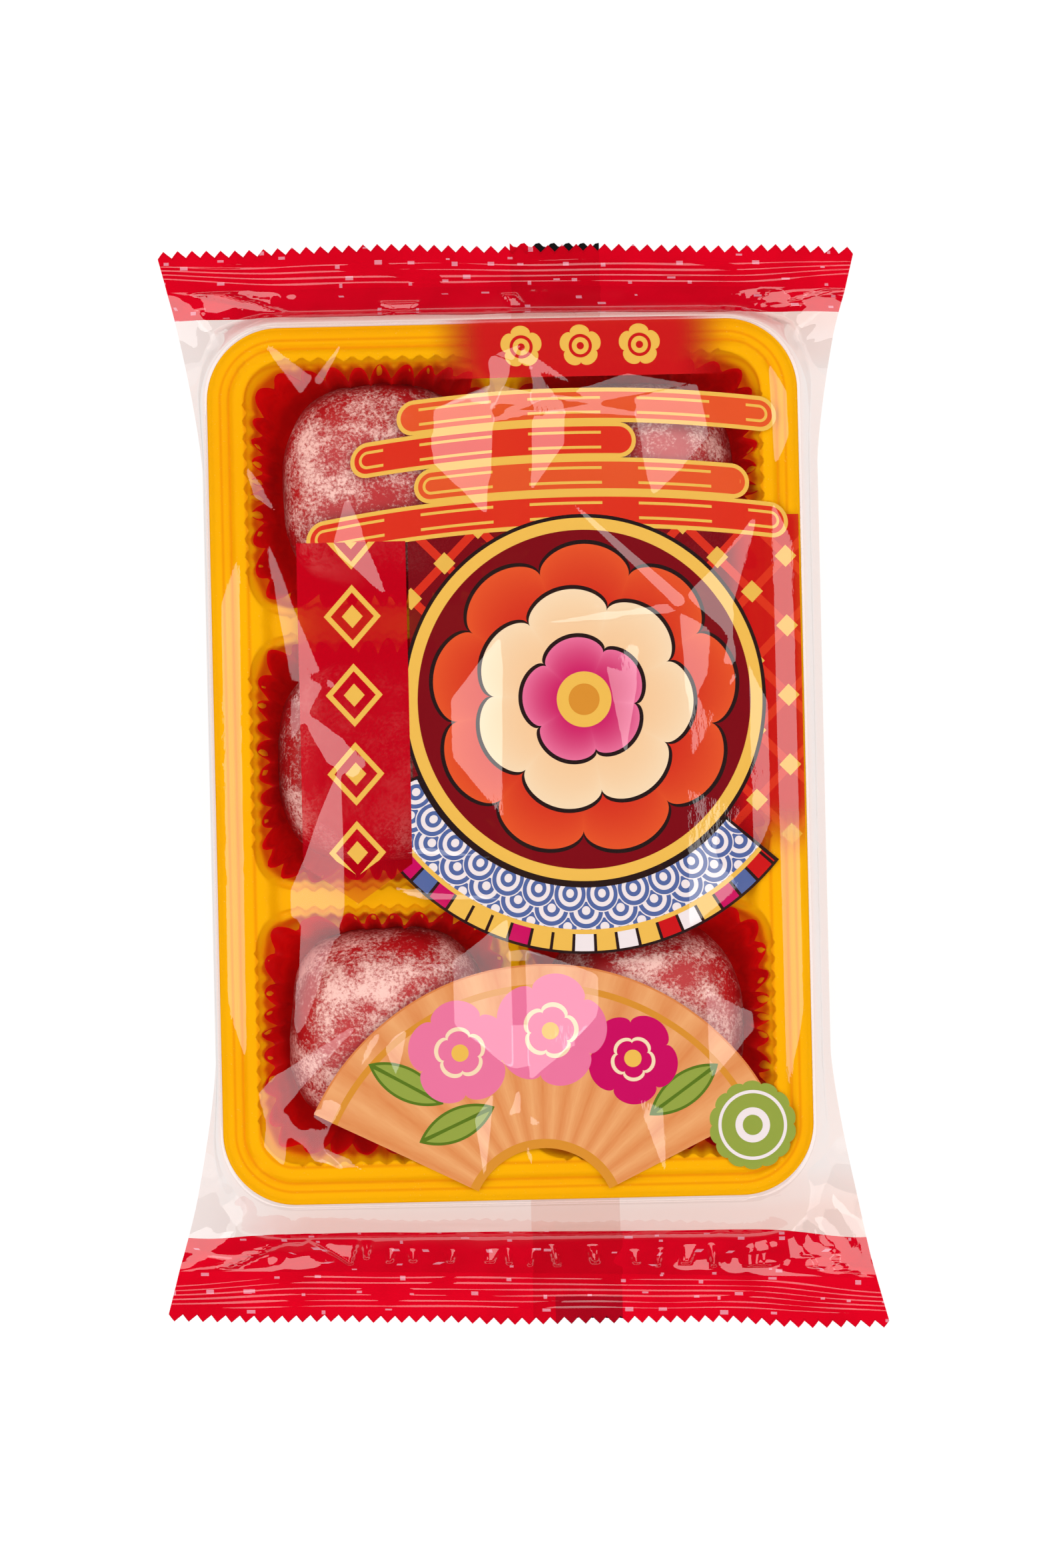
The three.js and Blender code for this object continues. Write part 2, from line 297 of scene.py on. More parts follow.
def sleeve_half(y):
    """Half the sleeve's width along it."""
    def flare(reach, length, seal):
        return (seal - WAIST_HALF) * np.clip(1 - reach / length, 0, 1) ** FLARE_POWER

    top = flare(TOP_CUT - y, TOP_FLARE, TOP_SEAL_HALF)
    return WAIST_HALF + top + flare(y - BOTTOM_CUT, BOTTOM_FLARE, BOTTOM_SEAL_HALF)


def from_seal(y):
    return np.minimum(TOP_LINE - y, y - BOTTOM_LINE)


def crease_height(y):
    return lerp(SEAL_HEIGHT, SIDE_CREASE_HEIGHT, smooth(from_seal(y) / CREASE_RISE))


def edge_height(x, y):
    """Height of the pillow's edge, which curls up at the ends of both seals."""
    near = smooth(1 - from_seal(y) / CURL_REACH)
    return crease_height(y) + CORNER_CURL * near * np.abs(x / TOP_SEAL_HALF) ** 3


def beyond_tray(x, y, inset):
    """Distance outside the tray's outline shrunk by inset, negative inside it."""
    corner = TRAY_CORNER - inset / 2
    ax = np.abs(x - TRAY_X) - (TRAY_HALF_X - inset - corner)
    ay = np.abs(y - TRAY_Y) - (TRAY_HALF_Y - inset - corner)
    outside = np.hypot(np.maximum(ax, 0), np.maximum(ay, 0))
    return outside + np.minimum(np.maximum(ax, ay), 0) - corner


def way_out(x, y, inset, ease):
    """Share of the way from the tray's outline to the pillow's edge, eased over the rim."""
    beyond = np.maximum(beyond_tray(x, y, inset), 0)
    eased = np.sqrt(beyond ** 2 + ease ** 2) - ease
    left = np.maximum(np.minimum(sleeve_half(y) - np.abs(x), from_seal(y)), 0)
    return eased / np.maximum(eased + left, 1e-6)


def waves(x, y, length_x, length_y, seed, count=14):
    """A smooth random field of about -1 to 1, with the given wavelengths across and along."""
    draw = np.random.default_rng(seed)
    total = np.zeros(np.broadcast(x, y).shape)
    for _ in range(count):
        turn = draw.uniform(0, 2 * math.pi)
        pitch = draw.uniform(0.6, 1.5)
        phase = draw.uniform(0, 2 * math.pi)
        run = math.cos(turn) * x / length_x + math.sin(turn) * y / length_y
        total += np.sin(2 * math.pi * pitch * run + phase)
    return total / math.sqrt(count)


# Folds of the film drawn over the rim and the balls, each with one flank that catches a light. Each has
# its crest's start and end, the flank's width to the right of that run (to the left if negative), how
# sharply it tapers at its start and end, and the flank's slope.
DRAWN_FOLDS = (
    ((-53.5, 98.3), (-41, 88.5), 4.5, 0.9, 0.15, 0.098),
    ((-58, 71.5), (-50, 59.5), 2.4, 0.5, 0.5, 0.072),
    ((-54.5, 57.5), (-41, 22), 7.5, 0.9, 0.1, 0.054),
    ((-41, 24), (-49.5, 10), 5.0, 0.1, 0.5, 0.066),
    ((-48, 18), (-22, -2), 6.0, 0.4, 0.4, 0.079),
    ((-36, 64), (-25, 38), 7.0, 0.3, 0.6, 0.066),
    ((-38.5, 6), (-38, -34), 12.5, 0.7, 0.15, 0.052),
    ((-38, -27), (-50, -56), 9.0, 0.15, 0.85, 0.057),
    ((-20, -13), (-21, -25), 9.0, 0.2, 0.15, 0.062),
    ((-34.5, -51), (-56, -73.5), 6.0, 0.7, 0.12, 0.105),
    ((-30, -52.5), (-46, -82), 5.8, 0.6, 0.12, 0.093),
    ((-25, -53), (-28, -65), 4.5, 0.4, 0.5, 0.079),
    ((-51, -70), (-53, -83), 5.0, 0.3, 0.3, 0.048),
    ((-59.8, 52), (-60.6, -60), 4.4, 0.1, 0.12, 0.039),
    ((-2.5, 34), (-2.5, -9), 12.0, 0.35, 0.35, 0.078),
    ((-2, -28), (-2, -63), 13.0, 0.3, 0.3, 0.080),
    ((0.8, -36), (0.8, -67), -16.0, 0.2, 0.5, 0.080),
    ((-6, -66), (-9, -89), 5.0, 0.4, 0.8, 0.093),
    ((-1, -66), (3, -88), 5.0, 0.3, 0.8, 0.101),
    ((36.5, -1), (37, -33), -13.0, 0.15, 0.3, 0.051),
    ((51, 28), (51, -26), -5.0, 0.2, 0.3, 0.042),
    ((40, -45), (41, -66), -11.0, 0.3, 0.5, 0.050),
    ((57, 62), (57.6, -70), -5.0, 0.08, 0.15, 0.041),
    ((57, 92), (58, 68), -4.0, 0.3, 0.3, 0.041),
    ((54.6, 59), (36, 38), -12.0, 0.9, 0.1, 0.068),
    ((36, 40), (38, 3), -12.5, 0.1, 0.5, 0.053),
    ((26, 90), (31, 62), -15.0, 0.2, 0.4, 0.058),
    ((-3, 88), (-5, 58), 13.0, 0.2, 0.4, 0.076),
    ((5, 92), (4, 63), -8.0, 0.3, 0.4, 0.080),
    ((16, 44), (24, 4), -9.0, 0.4, 0.6, 0.066),
    ((3, 97), (-3, 82), 5.5, 0.3, 0.6, 0.101),
    ((24, -68), (31, -88), -5.5, 0.3, 0.8, 0.075),
)
CREST_ROUND = 0.35
TAPER_EASE = 6
BACK_FLANK = 3.2  # times the bright flank's width, for the gentle flank behind it
# Share of the way past the rim, and of the drop, at which the film turns to the band's gentler slope:
# at the bottom and the sides, and at the top.
TURN_WAY = (0.467, 0.34)
TURN_DROP = (0.69, 0.78)
TURN_ROUND = 0.04

# Facets pressed into the red bands' slopes, each of which catches a light: at which end, where across it,
# how far from the seal it starts and ends, its half widths there, and how it leans.
END_FACETS = (
    (-1, -39.6, 1.8, 8.4, 0.3, 5.8, -0.55), (-1, -36.0, 3.2, 8.0, 0.4, 1.3, 0.05),
    (-1, -67.0, 0.8, 8.2, 0.7, 1.5, 1.72), (-1, -51.5, 7.2, 8.4, 1.6, 2.8, 0.3),
    (-1, 66.0, 1.6, 7.0, 0.5, 2.8, -0.5), (-1, 73.0, 0.8, 6.6, 0.8, 1.4, -1.5),
    (1, -66.5, 0.4, 6.4, 3.8, 1.0, 3.3), (1, 60.0, 0.4, 5.8, 0.5, 1.8, -0.9),
    (1, 74.5, 0.4, 5.6, 1.6, 1.0, -3.2), (1, 0.5, 1.8, 5.4, 1.6, 2.0, 0.7),
    (1, 6.0, 1.0, 2.8, 0.7, 0.7, 0.2), (1, 8.6, 1.0, 2.7, 0.5, 0.6, 0.0),
    (1, -24.0, 3.4, 6.2, 5.0, 0.6, 0.4),
)
FACET_SLOPE = 0.12
FACET_EDGE = 0.3  # width of a facet's side walls
# The row of small oval facets: where it runs, and the least and most of each one's lean, distance from
# the seal, length and half width.
OVALS_FROM, OVALS_TO = -31.0, 60.0
OVAL_FORMS = ((-0.35, 1.8, 3.2, 0.8), (0.35, 2.8, 5.8, 1.9))
OVAL_STEPS = (3.5, 9.5)


def rounded(value):
    """Positive part of a value, with the corner rounded."""
    return 0.5 * (value + np.sqrt(value * value + CREST_ROUND ** 2))


def drawn_folds(x, y):
    """Height of the listed folds: tents with a steeper, bright flank and a gentle one behind."""
    total = np.zeros(np.broadcast(x, y).shape)
    for start, end, width, start_taper, end_taper, slope in DRAWN_FOLDS:
        run_x, run_y = end[0] - start[0], end[1] - start[1]
        length = math.hypot(run_x, run_y)
        share = ((x - start[0]) * run_x + (y - start[1]) * run_y) / length ** 2
        aside = ((x - start[0]) * run_y - (y - start[1]) * run_x) / length * math.copysign(1, width)
        taper = np.minimum(np.clip(share / start_taper, 0, 1), np.clip((1 - share) / end_taper, 0, 1))
        reach = abs(width) * taper
        bright = slope * (reach - aside)
        gentle = slope * (reach + aside / BACK_FLANK)
        tent = np.minimum(bright, gentle)
        total += rounded(tent / slope) * slope * smooth(TAPER_EASE * taper)
    return total


CORNER_PLEAT = 0.30


def corner_folds(x, y):
    """Creases that fan out from each of the tray's corners to the ends of the seals."""
    total = np.zeros(np.broadcast(x, y).shape)
    for side, end in product((-1, 1), (-1, 1)):
        run_x = side * (x - TRAY_X) - (TRAY_HALF_X - TRAY_CORNER)
        run_y = end * (y - TRAY_Y) - (TRAY_HALF_Y - TRAY_CORNER)
        angle = np.arctan2(run_y, run_x)
        reach = np.hypot(run_x, run_y)
        seed = 11 + 3 * side + end
        pleat = waves(angle * 20, reach * 0.2, 5.0, 9.0, seed)
        near = smooth((reach - TRAY_CORNER) / 6) * smooth((angle + 0.3) / 0.4) * smooth((1.9 - angle) / 0.4)
        total += CORNER_PLEAT * pleat * near
    return total


def facet(aside, away, start, end, half_start, half_end, lean):
    """A facet that rises towards the seal, with sharp sides."""
    share = (away - start) / (end - start)
    half = lerp(half_start, half_end, share)
    inside = np.minimum(half - np.abs(aside - lean * (away - start)), np.minimum(away - start, end - away))
    return (FACET_SLOPE + 0.01 * (end + away)) * (end - away) * np.clip(inside / FACET_EDGE, 0, 1)


def pressed_facets(x, y):
    """The large facets, and the row of small oval ones along the bottom seal."""
    total = np.zeros(np.broadcast(x, y).shape)
    away = {1: TOP_LINE - y, -1: y - BOTTOM_LINE}
    for end, middle, *form in END_FACETS:
        total = np.maximum(total, facet(x - middle, away[end], *form))
    draw = np.random.default_rng(77)
    middle = OVALS_FROM
    while middle < OVALS_TO:
        lean, near, length, half = draw.uniform(*OVAL_FORMS)
        total = np.maximum(total, facet(x - middle, away[-1], near, near + length, half * 0.6, half, lean))
        middle += draw.uniform(*OVAL_STEPS)
    return total


def edge_fade(x, y):
    """1 in the open film, 0 at the pillow's edge."""
    return smooth(np.minimum(sleeve_half(y) - np.abs(x), from_seal(y)) / 5)


SWELL = 0.12
SWELL_REACH = 23.0


def ball_swell(x, y):
    """How far the balls under the film lift it."""
    lift = np.zeros(np.broadcast(x, y).shape)
    for column, row in product(COLUMNS, ROWS):
        dx = x - TRAY_X - column * CELL_HALF_X
        dy = y - CELLS_Y - row * CELL_HALF_Y
        near = np.clip(1 - (dx * dx + dy * dy) / SWELL_REACH ** 2, 0, 1)
        lift = np.maximum(lift, SWELL * near * near)
    return lift


def dropped(share, y):
    """The share of its drop that the film has made at a share of its way past the rim."""
    top = smooth((y - 80) / 20)
    turn, lost = lerp(*TURN_WAY, top), lerp(*TURN_DROP, top)
    steep = lost / turn * share
    gentle = 1 - (1 - lost) / (1 - turn) * (1 - share)
    return np.clip(0.5 * (steep + gentle - np.hypot(steep - gentle, TURN_ROUND)), 0, 1)


def front_height(x, y):
    """The front film's height above the table."""
    inside = smooth(-beyond_tray(x, y, 0) / 25)
    over = ball_swell(x, y) + drawn_folds(x, y) * smooth(-beyond_tray(x, y, 0) / 5)
    over = over + inside * (0.035 * waves(x, y, 34, 60, 5) + 0.010 * waves(x, y, 11, 24, 6))
    share = dropped(way_out(x, y, -0.3, 1.2), y)
    height = lerp(RIM_HEIGHT + over, edge_height(x, y) + FILM_GAP / 2, share)
    outside = smooth(beyond_tray(x, y, 0) / 5)
    near_seal = smooth(1 - from_seal(y) / 13)
    pucker = 0.08 * near_seal * waves(x, y, 8.0, 16.0, 8) + 0.06 * waves(x, y, 40, 9, 9)
    folds = edge_fade(x, y) * (corner_folds(x, y) + pucker)
    off_edge = smooth((sleeve_half(y) - np.abs(x)) / 2)
    return height + outside * (folds + off_edge * pressed_facets(x, y))


def channel_lift(x):
    beside = np.maximum(np.maximum(FIN_LEFT - x, x - FIN_LEFT - FIN_WIDTH), 0)
    return CHANNEL_HEIGHT * np.clip(2 - beside / CHANNEL_MARGIN, 0, 1)


def back_height(x, y):
    """The back film's height: flat under the tray, rising to the pillow's edge."""
    share = way_out(x, y, WALL_DRAFT, 1.0)
    height = lerp(channel_lift(x), edge_height(x, y) - FILM_GAP / 2, share)
    outside = smooth(beyond_tray(x, y, WALL_DRAFT) / 6)
    return height + edge_fade(x, y) * outside * (0.3 * waves(x, y, 9, 14, 21) - 0.15)


def tray_half(y, inset):
    """Half the width of the tray's outline along it. Past the tray's ends it stays as at them."""
    corner = TRAY_CORNER - inset / 2
    along = np.maximum(np.abs(y - TRAY_Y) - (TRAY_HALF_Y - inset - corner), 0)
    arc = np.sqrt(np.maximum(corner ** 2 - along ** 2, 0))
    return TRAY_HALF_X - inset - corner + arc


TOP_SKEW = 0.015
BOTTOM_SKEW = 0.031
TOP_BOW = 1.3


def end_drift(x, y):
    """How far the film's ends have been pulled askew: both cuts lean, and the top one is bowed."""
    top = smooth((y - 98) / 14) * (TOP_SKEW * x + TOP_BOW * (x / TOP_SEAL_HALF) ** 2)
    return -top - smooth((-y - 90) / 20) * BOTTOM_SKEW * x


def film_grid(rows, flap, middle, inset, height):
    """Points of one film of the pillow, and their places on the film laid flat."""
    share = np.linspace(-1, 1, rows)[:, None]
    y = lerp(BOTTOM_LINE, TOP_LINE, (1.2 * share - 0.2 * share ** 3 + 1) / 2)
    half = sleeve_half(y)
    left = TRAY_X - tray_half(y, inset)
    right = TRAY_X + tray_half(y, inset)
    out = 1 - np.linspace(1, 0, flap, endpoint=False) ** 1.3
    across = [lerp(-half, left, out), lerp(left, right, np.linspace(0, 1, middle, endpoint=False))]
    across.append(lerp(half, right, 1 - np.linspace(0, 1, flap + 1)[::-1] ** 1.3)[:, ::-1])
    x = np.concatenate(across, axis=1)
    y = np.broadcast_to(y, x.shape)
    z = height(x, y)
    rise = np.hypot(np.diff(x, axis=1), np.diff(z, axis=1))
    walked = np.concatenate([np.zeros((rows, 1)), np.cumsum(rise, axis=1)], axis=1)
    centre = np.argmin(np.abs(x), axis=1)[:, None]
    walked = walked - np.take_along_axis(walked, centre, axis=1)
    climb = np.hypot(np.diff(y, axis=0), np.diff(z, axis=0))
    climb = np.concatenate([np.zeros((1, x.shape[1])), np.cumsum(climb, axis=0)], axis=0)
    climb = np.take_along_axis(climb, centre, axis=1)
    along = np.broadcast_to(FILM_HALF * (2 * climb / climb[-1:] - 1), x.shape)
    return np.stack([x, y + end_drift(x, y), z], axis=-1), np.stack([walked, along], axis=-1)


def film_sheet(name, rows, flap, middle, inset, height, material, facing_down):
    points, flat = film_grid(rows, flap, middle, inset, height)
    faces = grid_faces(*points.shape[:2])
    if facing_down:
        faces = faces[:, ::-1]
    piece = mesh_piece(name, points.reshape(-1, 3), faces, material, flat.reshape(-1, 2))
    place(piece, "film")


# The crimped seals and the fin

RIDGE_PITCH = 1.3
TOOTH_PITCH = 3.17
TOOTH_DEPTH = 1.6
TOOTH_STEPS = 4
SEAL_ROWS = 100
# The crimp's outermost ridges bow away from the line at the seal's ends, from BOW_FROM outwards.
RIDGE_BOW = 2.6
BOW_FROM = 50
PLAIN_CUT = 2.6  # depth of the strip along the cut that has no ridges


def crimp_ridges(x, depth, reach):
    """Height of the cross ridges at a depth past the crimp line, none along the cut."""
    bow = RIDGE_BOW * smooth((np.abs(x) - BOW_FROM) / 32)
    window = smooth((depth - bow) / 0.8) * smooth((reach - PLAIN_CUT - depth) / 0.8)
    squeeze = (depth - bow) / (reach - bow) * reach
    turn = (squeeze / RIDGE_PITCH + 0.06 * waves(x, depth, 60, 40, 93)) % 1
    bright = np.clip(0.34 + 0.14 * waves(x, depth, 30, 7, 91), 0.1, 0.62)
    slope = 0.155 + 0.055 * waves(x, depth, 24, 5, 92)
    step = np.minimum(bright * turn / (1 - bright), 1 - turn)
    return window * slope * RIDGE_PITCH * (step - bright / 2)


def sway(x, length, seed):
    """A smooth random field that varies across the pack only."""
    return waves(x, 0 * x, length, 50, seed)


def seal_sag(x, depth, end):
    """The gentle waves that a seal lies in, growing towards its cut."""
    return smooth(depth / 4) * (0.12 * sway(x, 60, 31 + end) + 0.05 * sway(x, 17, 41 + end))


def seal_layer(end, side):
    """Points of one film of a seal. end is 1 at the top and -1 at the bottom, side 1 in front."""
    line, cut = (TOP_LINE, TOP_CUT) if end > 0 else (BOTTOM_LINE, BOTTOM_CUT)
    reach = abs(cut - line)
    cut_half = float(sleeve_half(np.array(cut)))
    teeth = round(2 * cut_half / TOOTH_PITCH)
    columns = teeth * TOOTH_STEPS + 1
    share = np.linspace(-1, 1, columns)[None, :]
    tooth = np.abs((np.arange(columns) / TOOTH_STEPS) % 1 - 0.5) * 2 * TOOTH_DEPTH
    slip = 0.0 if side > 0 else 0.28 + 0.2 * sway(share * cut_half, 30, 51 + end)
    length = reach - tooth[None, :] + slip
    straight = reach - 2 * TOOTH_DEPTH
    rows = np.linspace(0, reach, SEAL_ROWS)[:, None]
    past = np.maximum((rows - straight) / (reach - straight), 0)
    depth = np.minimum(rows, straight) + past * (length - straight)
    y = line + end * depth
    x = share * sleeve_half(y)
    stretch = smooth(depth / 9) * 0.35 * sway(x, 48, 61 + end)
    z = edge_height(x, y) + side * FILM_GAP / 2 + crimp_ridges(x, depth, reach) + seal_sag(x, depth, end)
    points = np.stack([x, y + end * stretch + end_drift(x, y), z], axis=-1)
    flat = np.stack(np.broadcast_arrays(x, end * (FILM_HALF + depth)), axis=-1)
    faces = grid_faces(SEAL_ROWS, columns)
    if end * side < 0:
        faces = faces[:, ::-1]
    return points.reshape(-1, 3), faces, flat.reshape(-1, 2)


def end_seal(name, end, material):
    """Both films of a seal, as one piece."""
    front, back = seal_layer(end, 1), seal_layer(end, -1)
    points, _, flat = (np.concatenate(pair) for pair in zip(front, back))
    faces = np.concatenate([front[1], back[1] + len(front[0])])
    place(mesh_piece(name, points, faces, material, flat), "film")


FIN_TEETH = 6
FIN_COLUMNS = FIN_TEETH * TOOTH_STEPS + 1
FIN_ROWS = 260
FIN_DEPTH = 0.22  # how far below the back film it lies


def back_fin(material):
    """The folded fin along the back: one strip that lies close under the back film and both seals."""
    share = np.linspace(0, 1, FIN_COLUMNS)[None, :]
    turn = (np.arange(FIN_COLUMNS) / TOOTH_STEPS + 0.6) % 1
    tooth = 0.3 - np.abs(turn - 0.5)[None, :] * 2 * TOOTH_DEPTH
    y = lerp(BOTTOM_CUT - tooth + 1.0, TOP_CUT + tooth + 0.7, np.linspace(0, 1, FIN_ROWS)[:, None])
    x = FIN_LEFT + FIN_WIDTH * share + 0 * y
    inner = np.clip(y, BOTTOM_LINE, TOP_LINE)
    past = np.abs(y - inner)
    end = np.where(y > 0, 1, -1)
    base = back_height(x, inner) + np.where(end > 0, seal_sag(x, past, 1), seal_sag(x, past, -1))
    loose = 0.25 * share ** 2 * (1 + waves(x, y, 60, 24, 71)) * smooth(from_seal(y) / 10)
    z = np.maximum(base - FIN_DEPTH - loose, 0.05)
    points = np.stack([x, y + end_drift(x, y), z], axis=-1)
    flat = np.stack([x, inner / TOP_LINE * FILM_HALF + end * past], axis=-1)
    faces = grid_faces(FIN_ROWS, FIN_COLUMNS)[:, ::-1]
    place(mesh_piece("back_fin", points.reshape(-1, 3), faces, material, flat.reshape(-1, 2)), "film")


# The film's material

FILM_TINT = (0.97, 0.922, 0.905, 1.0)
# Painted shade and red bounce light: the clear strips beside the red bands are tinted pinker and dimmer than
# the rest of the film.
FILM_BOUNCE_SHADE = (0.97, 0.86, 0.825, 1.0)  # of the clear strips beside the red bands
HEAD_ON_SHEEN = 0.077  # the share of light the film gives back when seen straight on
RIPPLE_DEPTH = 0.00002
INK_RED = ink(228, 0, 32)
INK_RED_DEEP = ink(190, 0, 20)
TICK_PINK = ink(236, 152, 168)
TICK_GRIDS = ((8.5, 3.7, 0.0), (13.0, 5.3, 4.1))  # a cell's width and depth, and how far the grid is shifted
TICK_SHARE = 0.42  # of the cells hold a tick
MARK_BLACK = ink(22, 20, 22)
MARK_SHOWN = ink(84, 8, 26)


def pale_ticks(graph, across, along):
    """Mask of the small pale oblongs strewn over the red bands, one at most in each cell of a grid."""
    total = None
    for cell_x, cell_y, shift in TICK_GRIDS:
        at_x = (across + shift) / cell_x
        at_y = (along + shift) / cell_y
        cell = graph.vector(at_x.math("FLOOR"), at_y.math("FLOOR"), shift)
        luck, size, drift = graph.chance(cell)
        off_x = (at_x.math("FRACT") - 0.3 - drift * 0.4).abs() * cell_x
        off_y = (at_y.math("FRACT") - 0.3 - size * 0.4).abs() * cell_y
        wide = off_x < size * 0.65 + 0.3
        tall = off_y < drift * 0.35 + 0.17
        tick = wide * tall * (luck < TICK_SHARE)
        total = tick if total is None else total.math("MAXIMUM", tick)
    return total


def end_bands(graph, across, along, depth):
    """Mask and colour of the red band at each end, with paler oblongs strewn over it."""
    place_flat = graph.vector(across, along, 0.0)
    wobble = graph.noise(place_flat, 0.06, 1.0) - 0.5
    bow = across.abs().ramp(48.0, 76.0) * 3.5
    band = (along.abs() + wobble - bow) > FILM_HALF - depth
    fin = (across > FIN_LEFT) * (across < FIN_LEFT + FIN_WIDTH)
    uneven = graph.noise(place_flat, 0.09, 3.0).ramp(0.35, 0.75)
    red = graph.mix(uneven * 0.35 + fin * 0.45, INK_RED, INK_RED_DEEP)
    behind = fin * (across > FIN_LEFT + 5.0) * (along < -FILM_HALF - 5.0)
    red = graph.mix(behind * 0.42, red, MARK_SHOWN)
    return band, graph.mix(pale_ticks(graph, across, along) * 0.85, red, TICK_PINK)


def film_shader(graph, place_flat, ink_cover, ink_colour):
    """Clear glossy film with ink where its cover is above 0."""
    across, along, _ = place_flat.parts()
    drawn_out = graph.vector(across, along * 0.4, 0.0)
    patches = graph.noise(place_flat, 0.035, 2.0).ramp(0.50, 0.62)
    ripple = graph.noise(drawn_out, 0.55, 3.0, 0.6) * patches + graph.noise(drawn_out, 0.5, 2.0) * 0.12
    normal = graph.bump(ripple, RIPPLE_DEPTH)
    facing = graph.node("ShaderNodeLayerWeight", {}, {"Blend": 0.5, "Normal": normal}, "Facing")
    sheen = facing ** 5 * (1 - HEAD_ON_SHEEN) + HEAD_ON_SHEEN
    # Painted shade and red bounce light on the clear strips beside the red bands.
    bounce_shade = along.abs().ramp(FILM_HALF - 27, FILM_HALF - 20) * across.ramp(-64.0, -46.0)
    tint = graph.mix(bounce_shade, FILM_TINT, FILM_BOUNCE_SHADE)
    clear = graph.node("ShaderNodeBsdfTransparent", {}, {"Color": tint})
    gloss = graph.node("ShaderNodeBsdfGlossy", {}, {"Roughness": 0.005, "Normal": normal})
    film = graph.shader_mix(sheen.clamp(), clear, gloss)
    coat = {"Coat Weight": 1.0, "Coat Roughness": 0.008, "Coat Normal": normal, "Coat IOR": 1.77}
    values = {"Base Color": ink_colour, "Roughness": 0.6, "Specular IOR Level": 0.0, "Normal": normal}
    return graph.shader_mix(ink_cover, film, surface(graph, {**values, **coat}))


def plain_film(name, depth, eye_mark):
    """Film that carries only the red end bands, and on the fin the dark sensor marks."""
    material, graph = new_material(name)
    across, along = flat_place(graph)
    band, red = end_bands(graph, across, along, depth)
    if eye_mark:
        marked = (across > FIN_LEFT + FIN_WIDTH - MARK_WIDTH) * (along.abs() > FILM_HALF + SEAL_FLAT)
        red = graph.mix(marked, red, MARK_BLACK)
    finish_material(graph, film_shader(graph, graph.vector(across, along, 0.0), band, red))
    return material


# The print on the front: a panel, cloud bars, a peony medallion, a wave ribbon and a fan

GOLD = ink(244, 190, 84)
GOLD_DEEP = ink(222, 146, 50)
CLOUD_RED = ink(226, 52, 32)
CLOUD_ORANGE = ink(234, 88, 44)
PANEL_RED = ink(206, 16, 22)
PANEL_DARK = ink(128, 14, 24)
OUTLINE = ink(40, 26, 26)
PEACH = ink(250, 200, 150)
PEACH_PALE = ink(252, 222, 184)
PETAL_PINK = ink(240, 120, 160)
PETAL_MAGENTA = ink(206, 14, 96)
PETAL_RED = ink(208, 24, 28)
WAVE_BLUE = ink(84, 104, 160)
WAVE_WHITE = ink(246, 232, 232)
WOOD = ink(222, 132, 72)
WOOD_PALE = ink(242, 172, 112)
LEAF = ink(92, 120, 34)
LEAF_PALE = ink(150, 166, 70)
CRIMSON = ink(206, 0, 26)
LINE = 0.45  # half width of the printed outlines, in millimetres

# Places on the film laid flat, in millimetres. An oblong is its middle's x and y and its half sizes.
PANEL = (20.0, 16.0, 43.0, 38.0)
LATTICE_PITCH = 15.0
CLOUD_ROW = 7.6
CLOUD_FOOT = 52.0  # height of the lowest row of bars at the middle of its arch
CLOUD_MIDDLE = 14.0
MEDALLION = (15.0, 15.0)
# Each tier's count of petals, turn, radius, dent between petals, and colours at its edge and its heart.
TIERS = (
    (9, 0.2, 34.0, 0.16, CLOUD_ORANGE, PETAL_RED), (7, 0.5, 24.5, 0.18, PEACH_PALE, PEACH),
    (5, 0.1, 14.0, 0.20, PETAL_PINK, PETAL_MAGENTA),
)
RIBBON_REACH = 47.5
RIBBON_HALF = 7.5
RIBBON_TURN = 1.72
HEM_REACH = 50.2
HEM_STRIPS = 11.0
# Radius of each row of waves, and its shift along the ribbon as a share of a wave.
WAVE_ROWS = ((49.2, 0.5), (45.6, 0.0), (42.0, 0.5))
STRIP_COLOURS = (
    (0.0, GOLD), (0.2, WAVE_BLUE), (0.38, PETAL_RED), (0.56, PETAL_MAGENTA), (0.74, WAVE_WHITE),
    (0.88, PETAL_RED),
)
FAN = (4.0, -98.0)
FAN_REACH = 36.0
FAN_HALF = 20.0
# Each blossom's place, radius, turn and colour.
BLOSSOMS = (
    (-14.0, -61.0, 11.5, 0.2, PETAL_PINK), (24.0, -63.0, 10.0, 0.9, PETAL_MAGENTA),
    (6.0, -56.5, 12.5, 0.55, PETAL_PINK),
)
# Each leaf's place, and half its length across and along.
LEAVES = ((-26.0, -67.5, 5.0, 9.0), (-15.0, -76.5, 4.0, -9.0), (35.0, -70.0, -6.0, 8.5))
STREAMER_X = -35.5
STREAMER_HALF = 12.0
STREAMER_TOP = 50.0
STREAMER_FOOT = -28.0
LOZENGE_PITCH = 17.0
HEADER = (16.0, 91.5, 34.0, 6.6)
ROUNDEL_PITCH = 13.0
ROUNDEL_REACH = 19.5
SEAL_MARK = (50.0, -78.0)


class Sheet:
    """The ink laid down so far on the front film: its cover and its colour."""

    def __init__(self, graph, across, along):
        self.graph = graph
        self.across = across
        self.along = along
        self.spot = graph.vector(across, along, 0.0)
        self.cover, self.colour = end_bands(graph, across, along, FRONT_BAND)

    def lay(self, mask, colour, opacity=0.96):
        """A field of ink over what is there."""
        values = {0: mask, 2: self.cover, 3: opacity}
        self.cover = self.graph.node("ShaderNodeMix", {"data_type": "FLOAT"}, values)
        self.tint(mask, colour)

    def tint(self, mask, colour):
        """A second colour inside a field that is laid already."""
        self.colour = self.graph.mix(mask, self.colour, colour)

    def distance(self, x, y):
        values = {0: self.spot, 1: (x, y, 0.0)}
        return self.graph.node("ShaderNodeVectorMath", {"operation": "DISTANCE"}, values, 1)

    def angle(self, x, y):
        return (self.along - y).math("ARCTAN2", self.across - x)

    def oblong(self, x, y, half_x, half_y):
        """Distance outside an oblong, negative in it."""
        return ((self.across - x).abs() - half_x).math("MAXIMUM", (self.along - y).abs() - half_y)


